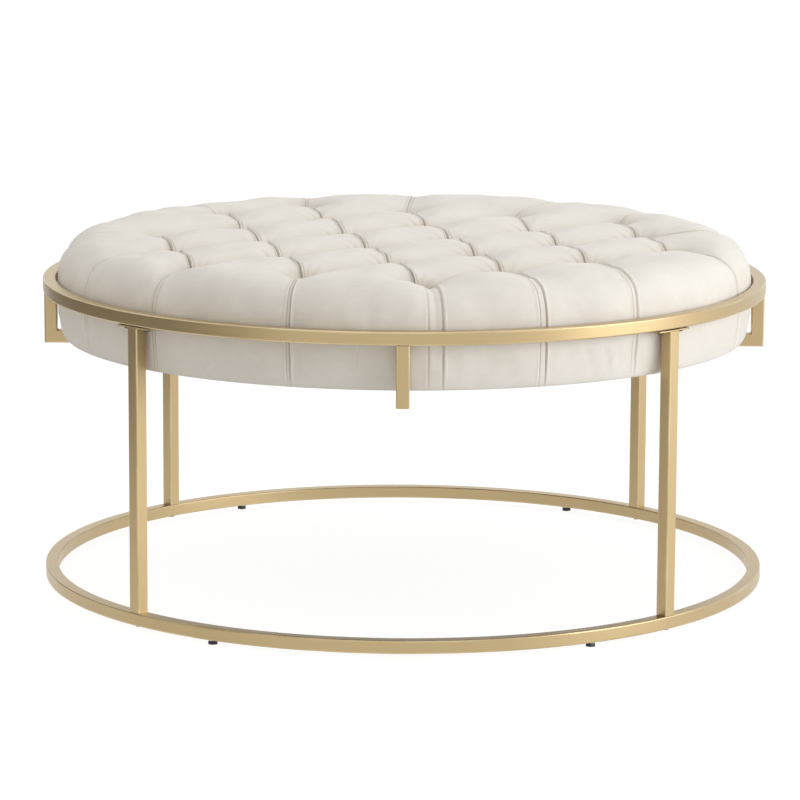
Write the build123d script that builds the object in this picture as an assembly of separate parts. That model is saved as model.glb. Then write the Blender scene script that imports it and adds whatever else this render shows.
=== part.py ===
"""Round tufted ottoman coffee table.

Two hoops of square tube stand one above the other on four square legs.  Four hangers drop
from the upper hoop and turn under a deep round seat, where they meet as a cross.  The seat
is a plywood board, a foam core, a wadding and a velvet cover that is drawn down in diamonds.

Millimetres, +Z up, the origin on the floor at the centre, the front towards -Y.
An azimuth is in degrees from the front towards +X.
"""
import os
from math import atan2, cos, degrees, radians, sin
from build123d import *

# Number of flat sides on the small repeated screws, inserts, ties and their holes
peg_sides = 6

# Square tube, the same stock for the hoops, legs, hangers and cross bars
tube_side = 16.0
tube_wall = 1.5
tube_corner = 1.2

# Frame
hoop_diameter = 914.4
hoop_top_height = 388.0
hanger_drop = 90.0
leg_azimuths = {"front_left": -45, "front_right": 45, "rear_right": 135, "rear_left": -135}
hanger_azimuths = {"front": 0, "right": 90, "rear": 180, "left": -90}

# Leg head: a curved plate on the leg, screwed up into inserts in the upper hoop
plate_length = 52.0
plate_thickness = 2.0
plate_screw_offset = 17.0
plate_screw_radius = 2.5
plate_screw_length = 12.0
plate_screw_head_radius = 4.5
plate_screw_head_height = 2.6
plate_insert_radius = 3.5
plate_insert_length = 9.0
plate_insert_flange_radius = 4.8
plate_insert_flange = 1.0

# Leg foot: a threaded plug in the leg, drawn down onto the lower hoop by one bolt
plug_length = 14.0
foot_bolt_radius = 3.0
foot_bolt_reach = 10.0
foot_bolt_head_radius = 4.2
foot_bolt_head_height = 1.6
foot_washer_radius = 5.5
foot_washer_thickness = 0.6

# Levelling glides under the lower hoop
glide_azimuths = {"front_left": -30, "front_right": 30, "rear_right": 150, "rear_left": -150}
glide_across_flats = 11.0
glide_pad_height = 4.4
glide_pad_socket_depth = 3.0
glide_stem_radius = 3.0
glide_stem_reach = 11.0
glide_insert_radius = 4.5
glide_insert_length = 10.0
glide_insert_flange_radius = 6.0
glide_insert_flange = 0.8

# Clearances
bolt_clearance = 0.3
thread_clearance = 0.05
glide_clearance = 0.3
seat_clearance = 0.5
layer_clearance = 0.5

# Seat, from its underside up
dust_cover_thickness = 0.6
dust_cover_overlap = 20.8
cover_thickness = 1.4
turn_under = 36.0
board_thickness = 15.0
wadding_wrap = 14.0
foam_height = 66.0
foam_bevel = 30.0
crown_rise = 48.0
belt_drop = 10.0
side_draw_in = 3.5
bottom_edge_run = 6.0

# Tufting, a lattice of diamonds drawn down at their corners and creased along their sides
tuft_depth = 34.0
crease_depth = 15.0
pleat_depth = 13.0
shoulder_swell = 10.0
shoulder_pleat_depth = 12.0
side_pleat_depth = 4.0
shoulder_run_share = 0.4
plumpness = 2.6
across_shares = (0, 0.17, 0.5, 0.83, 1)
shoulder_shares = (0, 0.12, 0.3, 0.52, 0.76, 1)
side_shares = (0, 0.5, 1)
lattice_start_shares = (-0.0975, -0.1384)
diamond_long_share = 0.5055
diamond_short_share = 0.329
diamond_turn = 19.8
tuft_rows = {-2: (-2, 0), -1: (-3, 1), 0: (-3, 2), 1: (-2, 2), 2: (-1, 2), 3: (0, 2)}
border_pleats = (
    (2, 0, 5), (2, 1, 22), (2, 2, 40), (2, 3, 70), (1, 3, 98), (0, 3, 128), (-1, 2, 149),
    (-2, 1, 178), (-3, 0, 198), (-3, -1, 227), (-2, -2, 268), (-1, -2, 298), (0, -2, 317),
    (1, -1, 342),
)
inner_corners = {(0, -2): (0, -1), (1, -1): (1, 0), (0, 3): (0, 2), (-1, 2): (-1, 1),
                 (-2, 1): (-2, 0), (-3, -1): (-2, -1)}
tie_radius = 1.2
tie_pocket_radius = 11.0
tie_hole_radius = 3.0

# Seat screws through the cross bars into tee nuts in the board
seat_screw_offset_share = 0.68
seat_screw_radius = 3.0
seat_screw_head_radius = 6.0
seat_screw_head_height = 4.0
seat_washer_radius = 8.0
seat_washer_thickness = 1.2
tee_nut_flange_radius = 9.5
tee_nut_flange = 1.2
tee_nut_barrel_radius = 3.9
tee_nut_barrel = 10.0

# Heights and radii that follow from the sizes above
cut_overrun = tube_side
hoop_radius = hoop_diameter / 2
hoop_mid_radius = hoop_radius - tube_side / 2
hoop_inner_radius = hoop_radius - tube_side
tube_bore = tube_side - 2 * tube_wall
lower_hoop_bottom = glide_pad_height + glide_clearance + glide_insert_flange
lower_hoop_top = lower_hoop_bottom + tube_side
upper_hoop_bottom = hoop_top_height - tube_side
leg_top = upper_hoop_bottom - plate_insert_flange - plate_thickness
bar_bottom = hoop_top_height - hanger_drop
bar_top = bar_bottom + tube_side
seat_radius = hoop_inner_radius - seat_clearance
seat_bottom = bar_top + dust_cover_thickness
board_bottom = seat_bottom + cover_thickness
board_top = board_bottom + board_thickness
board_radius = seat_radius - side_draw_in - wadding_wrap
turn_under_radius = board_radius - turn_under
dust_cover_radius = turn_under_radius + dust_cover_overlap
crown_height = hoop_top_height + crown_rise
belt_height = hoop_top_height - belt_drop
seat_screw_offset = seat_screw_offset_share * seat_radius
foam_top = board_top + foam_height
wadding_underside = foam_top + layer_clearance


def at_front(piece, radius, height=0):
    """Move a piece that is centred on the origin to the front of a hoop."""
    return Pos(0, -radius, height) * piece


def turned(piece, azimuth):
    """Swing a piece from the front of the table round to an azimuth."""
    return Rot(0, 0, azimuth) * piece


def rod(radius, low, high):
    """An upright round bar between two heights."""
    return Pos(0, 0, low) * Cylinder(radius, high - low, align=(Align.CENTER, Align.CENTER, Align.MIN))


def peg(radius, low, high):
    """A small upright round piece or hole that is repeated many times, with a few flat sides."""
    return Pos(0, 0, low) * extrude(RegularPolygon(radius, peg_sides), high - low)


def tube_section():
    """The hollow square section with its outer corners eased."""
    outside = Rectangle(tube_side, tube_side)
    return chamfer(outside.vertices(), tube_corner) - Rectangle(tube_bore, tube_bore)


def hoop(bottom):
    """One hoop: the tube section turned once round the middle of the table."""
    section = Rectangle(tube_side, tube_side) - Rectangle(tube_bore, tube_bore)
    return revolve(Plane.XZ * Pos(hoop_mid_radius, bottom + tube_side / 2) * section, Axis.Z)


def screw_places():
    """The azimuths of the two screws beside every leg."""
    swing = degrees(plate_screw_offset / hoop_mid_radius)
    return [azimuth + side * swing for azimuth in leg_azimuths.values() for side in (-1, 1)]


def upper_hoop():
    """The upper hoop, drilled from below for the inserts beside each leg."""
    low = upper_hoop_bottom - cut_overrun
    drill = at_front(peg(plate_insert_radius, low, upper_hoop_bottom + tube_side / 2), hoop_mid_radius)
    return hoop(upper_hoop_bottom) - [turned(drill, azimuth) for azimuth in screw_places()]


def lower_hoop():
    """The lower hoop, drilled through for the leg bolts and from below for the glides."""
    bolt_hole = peg(foot_bolt_radius + bolt_clearance, lower_hoop_bottom - cut_overrun,
                    lower_hoop_top + cut_overrun)
    glide_hole = peg(glide_insert_radius, lower_hoop_bottom - cut_overrun,
                     lower_hoop_bottom + tube_side / 2)
    holes = [turned(at_front(bolt_hole, hoop_mid_radius), a) for a in leg_azimuths.values()]
    holes += [turned(at_front(glide_hole, hoop_mid_radius), a) for a in glide_azimuths.values()]
    return hoop(lower_hoop_bottom) - holes


def leg():
    """A straight leg between the lower hoop and its head plate."""
    return at_front(extrude(tube_section(), leg_top - lower_hoop_top), hoop_mid_radius, lower_hoop_top)


def leg_plug():
    """The threaded block welded in the foot of a leg."""
    block = extrude(Rectangle(tube_bore, tube_bore), plug_length)
    thread = peg(foot_bolt_radius + thread_clearance, -cut_overrun, plug_length + cut_overrun)
    return at_front(block - thread, hoop_mid_radius, lower_hoop_top)


def leg_plate():
    """The head plate of a leg, bent to the curve of the hoop and pierced for two screws."""
    arc = degrees(plate_length / hoop_mid_radius)
    middle = leg_top + plate_thickness / 2
    section = Plane.XZ * Pos(hoop_mid_radius, middle) * Rectangle(tube_side, plate_thickness)
    plate = Rot(0, 0, -90 - arc / 2) * revolve(section, Axis.Z, arc)
    hole = peg(plate_screw_radius + bolt_clearance, leg_top - cut_overrun, leg_top + cut_overrun)
    swing = degrees(plate_screw_offset / hoop_mid_radius)
    return plate - [turned(at_front(hole, hoop_mid_radius), side * swing) for side in (-1, 1)]


def threaded_insert(radius, length, flange_radius, flange, thread_radius):
    """A flanged insert whose flange lies below zero and whose body stands above it."""
    body = peg(radius - thread_clearance, -flange, length) + peg(flange_radius, -flange, 0)
    return body - peg(thread_radius + thread_clearance, -flange - cut_overrun, length + cut_overrun)


def screw(shank_radius, shank_top, head_radius, head_height):
    """A screw pointing up, with its flat head below zero."""
    return peg(head_radius, -head_height, 0) + peg(shank_radius, 0, shank_top)


def hanger():
    """An upright from the upper hoop to the cross, mitred at the foot to meet its bar."""
    upright = extrude(tube_section(), upper_hoop_bottom - bar_bottom)
    return at_front(upright, hoop_mid_radius, bar_bottom) - mitre_waste(below=True)


def mitre_waste(below):
    """The wedge on one side of the 45 degree mitre between a hanger and its bar."""
    corner = (-hoop_radius, bar_bottom)
    inner = (-hoop_inner_radius, bar_top)
    if below:
        wedge = [corner, inner, (-hoop_inner_radius + cut_overrun, bar_top),
                 (-hoop_inner_radius + cut_overrun, bar_bottom - cut_overrun),
                 (-hoop_radius, bar_bottom - cut_overrun)]
    else:
        wedge = [corner, inner, (-hoop_inner_radius, bar_top + cut_overrun),
                 (-hoop_radius - cut_overrun, bar_top + cut_overrun), (-hoop_radius - cut_overrun, bar_bottom)]
    return extrude(Plane.YZ * make_face(Polyline(wedge, close=True)), tube_side, both=True)


def cross_bar(start, end):
    """A bar of the cross along Y between two places, at the height of the seat's underside."""
    section = Plane.XZ * tube_section()
    bar = Pos(0, end, bar_bottom + tube_side / 2) * extrude(section, end - start)
    low = bar_bottom - cut_overrun
    hole = peg(seat_screw_radius + bolt_clearance, low, bar_top + cut_overrun)
    return bar - [at_front(hole, side * seat_screw_offset) for side in (-1, 1)]


def long_cross_bar():
    """The unbroken bar from the front hanger to the rear one, mitred at both ends."""
    waste = mitre_waste(below=False)
    return cross_bar(-hoop_radius, hoop_radius) - waste - turned(waste, 180)


def short_cross_bar():
    """Half a bar, from the mitre at its hanger to the side of the long bar."""
    return cross_bar(-hoop_radius, -tube_side / 2) - mitre_waste(below=False)


def tuft(i, j):
    """The place of one tuft, counted along the two sides of the diamonds."""
    turn = radians(diamond_turn)
    long_half = seat_radius * diamond_long_share / 2
    short_half = seat_radius * diamond_short_share / 2
    x = seat_radius * lattice_start_shares[0] - (i - j) * long_half * sin(turn) + (i + j) * short_half * cos(turn)
    y = seat_radius * lattice_start_shares[1] - (i - j) * long_half * cos(turn) - (i + j) * short_half * sin(turn)
    return x, y


def tufts():
    """All tufts, row by row."""
    return [(i, j) for j, (first, last) in tuft_rows.items() for i in range(first, last + 1)]


def diamonds():
    """The lowest tuft of every diamond that has all its four tufts."""
    held = set(tufts())
    return [(i, j) for i, j in tufts() if {(i + 1, j), (i, j + 1), (i + 1, j + 1)} <= held]


def between(start, end, share):
    """A point between two others."""
    return tuple(a + (b - a) * share for a, b in zip(start, end))


def curve_point(controls, share):
    """The point at a share of the way along the smooth curve that a row of control points steers."""
    while len(controls) > 1:
        controls = [between(a, b, share) for a, b in zip(controls, controls[1:])]
    return controls[0]


def crease(start, end, inset):
    """The three control points of the crease between two tufts, at its depth halfway along."""
    low = crown_height - tuft_depth - inset
    high = crown_height + tuft_depth - 2 * crease_depth - inset
    return [(*start, low), (*between(start, end, 0.5), high), (*end, low)]


def diamond_point(i, j, u, v, inset):
    """A point of one puffed diamond, whose sides are creases and whose middle comes up to the crown.

    Across u and v it is as deep as the creases at its sides and flattens out towards the middle.
    """
    near = between(tuft(i, j), tuft(i + 1, j), u)
    far = between(tuft(i, j + 1), tuft(i + 1, j + 1), u)
    depth_u, depth_v = (crease_depth + (tuft_depth - crease_depth) * (2 * t - 1) ** 2 for t in (u, v))
    side_u, side_v = (abs(2 * t - 1) ** plumpness for t in (u, v))
    depth = side_u * depth_v + side_v * depth_u - side_u * side_v * tuft_depth
    return (*between(near, far, v), crown_height - depth - inset)


def rim_ring(first, last, height, radius, pinch_first=0, pinch_last=0):
    """Control points of a level arc of the rim, drawn in where a pleat pinches its ends."""
    half = radians(last - first) / 2
    middle = 2 * radius - (radius - (pinch_first + pinch_last) / 2) * cos(half)
    radii = (radius - pinch_first, middle, radius - pinch_last)
    angles = [radians(first) + half * k for k in range(3)]
    return [(r * sin(angle), -r * cos(angle), height) for r, angle in zip(radii, angles)]


def border_nets(start, end, first, last, pleat_first, pleat_last, inset):
    """The two patches outside one crease: over the shoulder to the belt, then down the side."""
    radius = seat_radius - inset
    crown = crown_height - inset
    lowest = seat_bottom + inset
    inner = crease(start, end, inset)
    corner = rim_ring(first, last, crown, radius,
                      shoulder_pleat_depth * pleat_first, shoulder_pleat_depth * pleat_last)
    belt = rim_ring(first, last, belt_height, radius,
                    side_pleat_depth * pleat_first, side_pleat_depth * pleat_last)
    heights = (crown - pleat_depth * pleat_first, crown + shoulder_swell,
               crown - pleat_depth * pleat_last)
    run = [(*between(a, b, shoulder_run_share)[:2], z) for a, b, z in zip(inner, corner, heights)]
    flank = [(x, y, (belt_height + lowest) / 2) for x, y, z in belt]
    foot = rim_ring(first, last, lowest, radius - side_draw_in)
    edge = rim_ring(first, last, lowest, radius - side_draw_in - bottom_edge_run)
    return [inner, run, corner, belt], [belt, flank, foot, edge]


def border(inset):
    """The nets of all border patches, in order round the seat."""
    nets = []
    for k, (i, j, first) in enumerate(border_pleats):
        next_i, next_j, last = border_pleats[(k + 1) % len(border_pleats)]
        last += 360 * (last < first)
        start, end = tuft(i, j), tuft(next_i, next_j)
        if (i, j) in inner_corners:
            middle = (first + last) / 2
            corner = tuft(*inner_corners[(i, j)])
            nets.append(border_nets(start, corner, first, middle, 1, 0, inset))
            nets.append(border_nets(corner, end, middle, last, 0, 1, inset))
        else:
            nets.append(border_nets(start, end, first, last, 1, 1, inset))
    return nets


def facets(grid):
    """Flat facets between the points of a grid."""
    faces = []
    for near, far in zip(grid, grid[1:]):
        for a, b, c, d in zip(near, near[1:], far, far[1:]):
            faces.append(Face(Wire.make_polygon([a, b, c])))
            faces.append(Face(Wire.make_polygon([b, d, c])))
    return faces


def net_grid(net, down_shares):
    """Points on the smooth patch that a net of control points steers."""
    lines = [[curve_point(line, share) for line in net] for share in across_shares]
    return [[curve_point(line, share) for line in lines] for share in down_shares]


def tufted_skin(inset):
    """The open tufted surface, drawn inwards by an inset, down to its bottom edge."""
    faces = []
    for i, j in diamonds():
        faces += facets([[diamond_point(i, j, u, v, inset) for u in across_shares] for v in across_shares])
    for top, side in border(inset):
        faces += facets(net_grid(top, shoulder_shares)) + facets(net_grid(side, side_shares))
    return faces


def bottom_edge(inset):
    """The closed wire round the bottom edge of a skin."""
    lines = [side[-1] for top, side in border(inset)]
    return Wire.make_polygon([curve_point(line, share) for line in lines for share in across_shares[:-1]])


def ring_face(outer, radius, height):
    """A flat ring between an outer wire and a round hole."""
    return Face(outer, [Wire(Edge.make_circle(radius, Plane.XY.offset(height)))])


def seat_cover():
    """The tufted velvet: outer and inner skins, joined round the edge turned under the board."""
    outer = tufted_skin(0)
    inner = tufted_skin(cover_thickness)
    hem = Face.extrude(Edge.make_circle(turn_under_radius, Plane.XY.offset(seat_bottom)),
                       (0, 0, cover_thickness))
    under = ring_face(bottom_edge(0), turn_under_radius, seat_bottom)
    over = ring_face(bottom_edge(cover_thickness), turn_under_radius, board_bottom)
    return Solid(Shell(outer + inner + [hem, under, over]))


def foam_profile(clearance, bottom):
    """The padded core with its bevelled top edge, as a turned solid standing on a height."""
    radius = board_radius + clearance
    top = foam_top + clearance
    outline = Polyline((0, bottom), (radius, bottom), (radius, top - foam_bevel),
                       (radius - foam_bevel, top), (0, top), close=True)
    return revolve(Plane.XZ * make_face(outline), Axis.Z)


def wadding():
    """The wadding between the foam and the cover, thick in the diamonds and thin at the tufts."""
    inset = cover_thickness + layer_clearance
    lowest = seat_bottom + inset
    hollow = foam_profile(layer_clearance, lowest)
    foot, *inner = hollow.faces().sort_by(Axis.Z)
    rim = Face(bottom_edge(inset), [foot.outer_wire()])
    return Solid(Shell(tufted_skin(inset) + inner + [rim]))


def seat_screw_places(piece):
    """A piece repeated at the four seat screws."""
    return [turned(at_front(piece, seat_screw_offset), azimuth) for azimuth in hanger_azimuths.values()]


def at_tufts(piece):
    """A piece repeated under every tuft."""
    return [Pos(*tuft(i, j)) * piece for i, j in tufts()]


def foam_core():
    """The foam on the board, with a pocket under each tuft and over each tee nut."""
    core = foam_profile(0, board_top)
    pockets = at_tufts(peg(tie_pocket_radius, board_bottom, foam_top + cut_overrun))
    pockets += seat_screw_places(peg(tee_nut_flange_radius + seat_clearance, board_bottom,
                                     board_top + tee_nut_flange + seat_clearance))
    return core - pockets


def base_board():
    """The round plywood board, drilled for the tufting ties and the tee nuts."""
    disc = rod(board_radius, board_bottom, board_top)
    holes = at_tufts(peg(tie_hole_radius, board_bottom - cut_overrun, board_top + cut_overrun))
    holes += seat_screw_places(peg(tee_nut_barrel_radius + thread_clearance, board_bottom - cut_overrun,
                                   board_top + cut_overrun))
    return disc - holes


def dust_cover():
    """The thin cloth over the underside of the board, pierced for the seat screws."""
    cloth = rod(dust_cover_radius, bar_top, seat_bottom)
    hole = peg(seat_screw_radius + bolt_clearance, bar_top - cut_overrun, seat_bottom + cut_overrun)
    return cloth - seat_screw_places(hole)


def tuft_tie():
    """One length of twine from under the board to the wadding under a tuft."""
    return peg(tie_radius, board_bottom - cover_thickness / 2, wadding_underside)


def tee_nut():
    """A flanged nut driven into the top of the board."""
    body = peg(tee_nut_flange_radius, board_top, board_top + tee_nut_flange)
    body += peg(tee_nut_barrel_radius, board_top - tee_nut_barrel, board_top)
    return body - peg(seat_screw_radius + thread_clearance, board_bottom, board_top + cut_overrun)


def washer(radius, hole_radius, low, high):
    """A flat washer between two heights."""
    return peg(radius, low, high) - peg(hole_radius, low - cut_overrun, high + cut_overrun)


def glide_pad():
    """The hexagonal nylon foot of a levelling glide, with a socket for its stem."""
    pad = extrude(RegularPolygon(glide_across_flats / 2, 6, major_radius=False), glide_pad_height)
    low = glide_pad_height - glide_pad_socket_depth
    return at_front(pad - peg(glide_stem_radius + thread_clearance, low, glide_pad_height + cut_overrun),
                    hoop_mid_radius)


def glide_stem():
    """The threaded stem of a levelling glide."""
    low = glide_pad_height - glide_pad_socket_depth
    return at_front(peg(glide_stem_radius, low, lower_hoop_bottom + glide_stem_reach), hoop_mid_radius)


def around(piece, azimuths):
    """Copies of a piece that stands at the front, turned to each azimuth, as separate solids."""
    return Compound([turned(piece, azimuth) for azimuth in azimuths])


def separate(pieces):
    """A group of separate solids in one node."""
    return Compound(pieces)


def table_parts():
    """Every node of the table by name."""
    parts = {"upper_hoop": upper_hoop(), "lower_hoop": lower_hoop()}
    for corner, azimuth in leg_azimuths.items():
        parts[f"leg_{corner}"] = turned(leg(), azimuth)
        parts[f"leg_plate_{corner}"] = turned(leg_plate(), azimuth)
        parts[f"leg_plug_{corner}"] = turned(leg_plug(), azimuth)
    for side, azimuth in hanger_azimuths.items():
        parts[f"hanger_{side}"] = turned(hanger(), azimuth)
    parts["cross_bar_long"] = long_cross_bar()
    parts["cross_bar_right"] = turned(short_cross_bar(), hanger_azimuths["right"])
    parts["cross_bar_left"] = turned(short_cross_bar(), hanger_azimuths["left"])
    insert = threaded_insert(plate_insert_radius, plate_insert_length, plate_insert_flange_radius,
                             plate_insert_flange, plate_screw_radius)
    plate_screw = screw(plate_screw_radius, plate_screw_length, plate_screw_head_radius,
                        plate_screw_head_height)
    parts["plate_inserts"] = around(at_front(insert, hoop_mid_radius, upper_hoop_bottom), screw_places())
    parts["plate_screws"] = around(at_front(plate_screw, hoop_mid_radius, leg_top), screw_places())
    low = lower_hoop_bottom - foot_washer_thickness
    bolt = screw(foot_bolt_radius, lower_hoop_top + foot_bolt_reach - low, foot_bolt_head_radius,
                 foot_bolt_head_height)
    parts["foot_bolts"] = around(at_front(bolt, hoop_mid_radius, low), leg_azimuths.values())
    ring = washer(foot_washer_radius, foot_bolt_radius + bolt_clearance, low, lower_hoop_bottom)
    parts["foot_washers"] = around(at_front(ring, hoop_mid_radius), leg_azimuths.values())
    insert = threaded_insert(glide_insert_radius, glide_insert_length, glide_insert_flange_radius,
                             glide_insert_flange, glide_stem_radius)
    parts["glide_inserts"] = around(at_front(insert, hoop_mid_radius, lower_hoop_bottom),
                                    glide_azimuths.values())
    for corner, azimuth in glide_azimuths.items():
        parts[f"glide_pad_{corner}"] = turned(glide_pad(), azimuth)
        parts[f"glide_stem_{corner}"] = turned(glide_stem(), azimuth)
    parts["base_board"] = base_board()
    parts["foam_core"] = foam_core()
    parts["wadding"] = wadding()
    parts["seat_cover"] = seat_cover()
    parts["dust_cover"] = dust_cover()
    parts["tuft_ties"] = separate(at_tufts(tuft_tie()))
    low = bar_bottom - seat_washer_thickness
    ring = washer(seat_washer_radius, seat_screw_radius + bolt_clearance, low, bar_bottom)
    seat_screw = Pos(0, 0, low) * screw(seat_screw_radius, board_top + tee_nut_flange - low,
                                        seat_screw_head_radius, seat_screw_head_height)
    parts["seat_screws"] = separate(seat_screw_places(seat_screw))
    parts["seat_washers"] = separate(seat_screw_places(ring))
    parts["tee_nuts"] = separate(seat_screw_places(tee_nut()))
    return parts


def main():
    """Write each node to its own file."""
    os.makedirs("parts", exist_ok=True)
    for name, piece in table_parts().items():
        export_step(piece, f"parts/{name}.step")


main()
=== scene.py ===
# %% [markdown]
# # A round tufted ottoman table
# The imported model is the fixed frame: it says where each tube, screw and foot lies, in metres, with the
# origin on the floor under the middle. Everything made below is fitted to it. Sizes that the frame knows
# are read from it, and the rest are named where they are first needed.

# %% Load the frame
from math import cos, pi, radians, sin, tau
import bmesh
import bpy
import numpy as np
from mathutils import Matrix, Vector


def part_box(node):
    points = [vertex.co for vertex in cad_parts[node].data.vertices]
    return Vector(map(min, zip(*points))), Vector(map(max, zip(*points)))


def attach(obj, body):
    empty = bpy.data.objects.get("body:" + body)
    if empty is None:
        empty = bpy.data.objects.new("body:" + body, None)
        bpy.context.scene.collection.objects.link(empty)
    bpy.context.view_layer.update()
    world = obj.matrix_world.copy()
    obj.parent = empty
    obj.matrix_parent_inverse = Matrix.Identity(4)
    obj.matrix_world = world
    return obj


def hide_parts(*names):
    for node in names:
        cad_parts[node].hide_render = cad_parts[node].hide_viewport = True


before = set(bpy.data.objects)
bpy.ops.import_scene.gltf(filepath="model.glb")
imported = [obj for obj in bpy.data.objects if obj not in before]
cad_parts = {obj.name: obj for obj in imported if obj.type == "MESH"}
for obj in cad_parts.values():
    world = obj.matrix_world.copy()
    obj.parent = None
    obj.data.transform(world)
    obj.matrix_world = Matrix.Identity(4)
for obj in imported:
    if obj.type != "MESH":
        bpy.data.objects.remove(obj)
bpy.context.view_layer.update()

# %% [markdown]
# ## The main sizes
# A hoop's box gives its outer radius, and the height of that box is the side of the square tube. The
# same tube is used all over the frame, so one number sets the legs, the hangers and the cross as well.

# %% Main sizes
hoop_low, hoop_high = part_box("upper_hoop")
ring_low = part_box("lower_hoop")[0]
seat_low, seat_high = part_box("seat_cover")
board_low, board_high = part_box("base_board")
bar_low, bar_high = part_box("cross_bar_long")
cover_low, cover_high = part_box("dust_cover")
tube = hoop_high.z - hoop_low.z
hoop_radius = (hoop_high.x - hoop_low.x) / 2
hoop_middle = hoop_radius - tube / 2
seat_radius = (seat_high.x - seat_low.x) / 2
leg_azimuths = {"front_left": -45, "front_right": 45, "rear_right": 135, "rear_left": -135}
glide_azimuths = {"front_left": -30, "front_right": 30, "rear_right": 150, "rear_left": -150}
hanger_azimuths = {"front": 0, "right": 90, "rear": 180, "left": -90}
print("tube", round(tube, 4), "hoop radius", round(hoop_radius, 4), "seat radius", round(seat_radius, 4))

# %% [markdown]
# ## Camera
# The photograph was taken with a long lens from just above the table. A camera is a matrix whose columns
# are its right, its up and its back. Building those three from a turn, a tilt and a roll is clearer than
# Euler angles, and gives the same result every run.

# %% Camera
photo_side = 800
sensor_width = 36.0
focal_pixels = 3955.5
camera_place = Vector((0.0141, -4.9667, 1.1343))
camera_turn, camera_tilt, camera_roll = 0.00382, -0.18106, 0.00491
view_end = 60


def put(name, data):
    """A new object in the scene that shows a mesh, a lamp or a camera."""
    made = bpy.data.objects.new(name, data)
    bpy.context.scene.collection.objects.link(made)
    return made


def add_camera():
    """Look along (-sin turn·cos tilt, cos turn·cos tilt, sin tilt), rolled about that line."""
    ahead = Vector((-sin(camera_turn) * cos(camera_tilt), cos(camera_turn) * cos(camera_tilt),
                    sin(camera_tilt)))
    level = Vector((cos(camera_turn), sin(camera_turn), 0))
    upright = level.cross(ahead)
    right = cos(camera_roll) * level + sin(camera_roll) * upright
    up = cos(camera_roll) * upright - sin(camera_roll) * level
    data = bpy.data.cameras.new("camera")
    data.sensor_width = sensor_width
    data.lens = focal_pixels / photo_side * sensor_width
    data.clip_end = view_end
    camera = put("camera", data)
    axes = Matrix((right, up, -ahead)).transposed().to_4x4()
    camera.matrix_world = Matrix.Translation(camera_place) @ axes
    bpy.context.scene.camera = camera
    return camera


camera = add_camera()
bpy.context.scene.view_settings.view_transform = "Standard"
print("lens", round(camera.data.lens, 1), "mm")

# %% [markdown]
# ## Small helpers for shader nodes
# A material is a graph of nodes. `node` adds one, sets its properties and fills or links its sockets in
# one call. `reckoned`, `ranged` and `mixed` are the nodes that every finish needs. `group` opens a node
# group, which is an effect that several materials share, each with its own values.

# %% Node helpers
def filled(tree, made, inputs):
    """A node whose inputs, by name or number, are set to values or linked to other nodes' outputs."""
    for key, value in inputs.items():
        if isinstance(value, bpy.types.NodeSocket):
            tree.links.new(value, made.inputs[key])
        else:
            made.inputs[key].default_value = value
    return made


def node(tree, kind, inputs=None, **settings):
    """Add a shader node: settings are its properties, inputs its values or links."""
    made = tree.nodes.new("ShaderNode" + kind)
    for key, value in settings.items():
        setattr(made, key, value)
    return filled(tree, made, inputs or {})


def reckoned(tree, operation, first, second, **settings):
    """The outcome of one operation on two values."""
    return node(tree, "Math", {0: first, 1: second}, operation=operation, **settings).outputs[0]


def ranged(tree, value, from_low, from_high, to_low=0.0, to_high=1.0):
    """A value brought from one range to another."""
    return node(tree, "MapRange", {"Value": value, "From Min": from_low, "From Max": from_high,
                                   "To Min": to_low, "To Max": to_high}).outputs[0]


def mixed(tree, factor, first, second, blend="MIX"):
    """Two colours mixed by a factor."""
    return node(tree, "Mix", {"Factor": factor, "A": first, "B": second}, data_type="RGBA",
                blend_type=blend).outputs["Result"]


def group(name, inputs, outputs):
    """A new node group: inputs are name: (kind, value), outputs are name: kind."""
    tree = bpy.data.node_groups.new(name, "ShaderNodeTree")
    for label, (kind, value) in inputs.items():
        socket = tree.interface.new_socket(label, in_out="INPUT", socket_type="NodeSocket" + kind)
        if value is not None:
            socket.default_value = value
    for label, kind in outputs.items():
        tree.interface.new_socket(label, in_out="OUTPUT", socket_type="NodeSocket" + kind)
    return tree, tree.nodes.new("NodeGroupInput").outputs, tree.nodes.new("NodeGroupOutput").inputs


def use(tree, made_group, inputs):
    """Place a node group in a material with its own values."""
    placed = tree.nodes.new("ShaderNodeGroup")
    placed.node_tree = made_group
    return filled(tree, placed, inputs).outputs


def shader(name, **constants):
    """A new material with its Principled shader, whose constants are set on the sockets."""
    material = bpy.data.materials.new(name)
    material.use_nodes = True
    principled = material.node_tree.nodes["Principled BSDF"]
    for label, value in constants.items():
        principled.inputs[label.replace("_", " ")].default_value = value
    return material, material.node_tree, principled


def link_all(tree, principled, **sources):
    """Link values that change over the surface to the shader's inputs."""
    for label, source in sources.items():
        tree.links.new(source, principled.inputs[label.replace("_", " ")])


# %% [markdown]
# ## Shared effects
# Three effects turn up in many finishes. *Mottle* is a soft blotchy value, for a colour or a gloss that
# is never quite even. *Brushing* is the same noise, but hundreds of times longer than wide, which reads as
# hairlines. The third, *wear*, takes the `corner` value that the tubes store along their edges, and breaks
# it up so that only parts of an edge are polished by hands and cloths.

# %% Shared effects
noise_span, wear_span = (0.3, 0.7), (0.42, 0.62)
hairline_stretch = {"Along": 6.0, "Across": 1500.0}


def mottle_group():
    """Noise at a scale, brought to lie between a low and a high value."""
    tree, given, result = group(
        "mottle",
        {"Vector": ("Vector", None), "Scale": ("Float", 40.0), "Low": ("Float", 0.0),
         "High": ("Float", 1.0)}, {"Value": "Float"})
    noise = node(tree, "TexNoise", {"Vector": given["Vector"], "Scale": given["Scale"], "Detail": 4.0})
    tree.links.new(ranged(tree, noise.outputs[0], *noise_span, given["Low"], given["High"]), result["Value"])
    return tree


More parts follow.
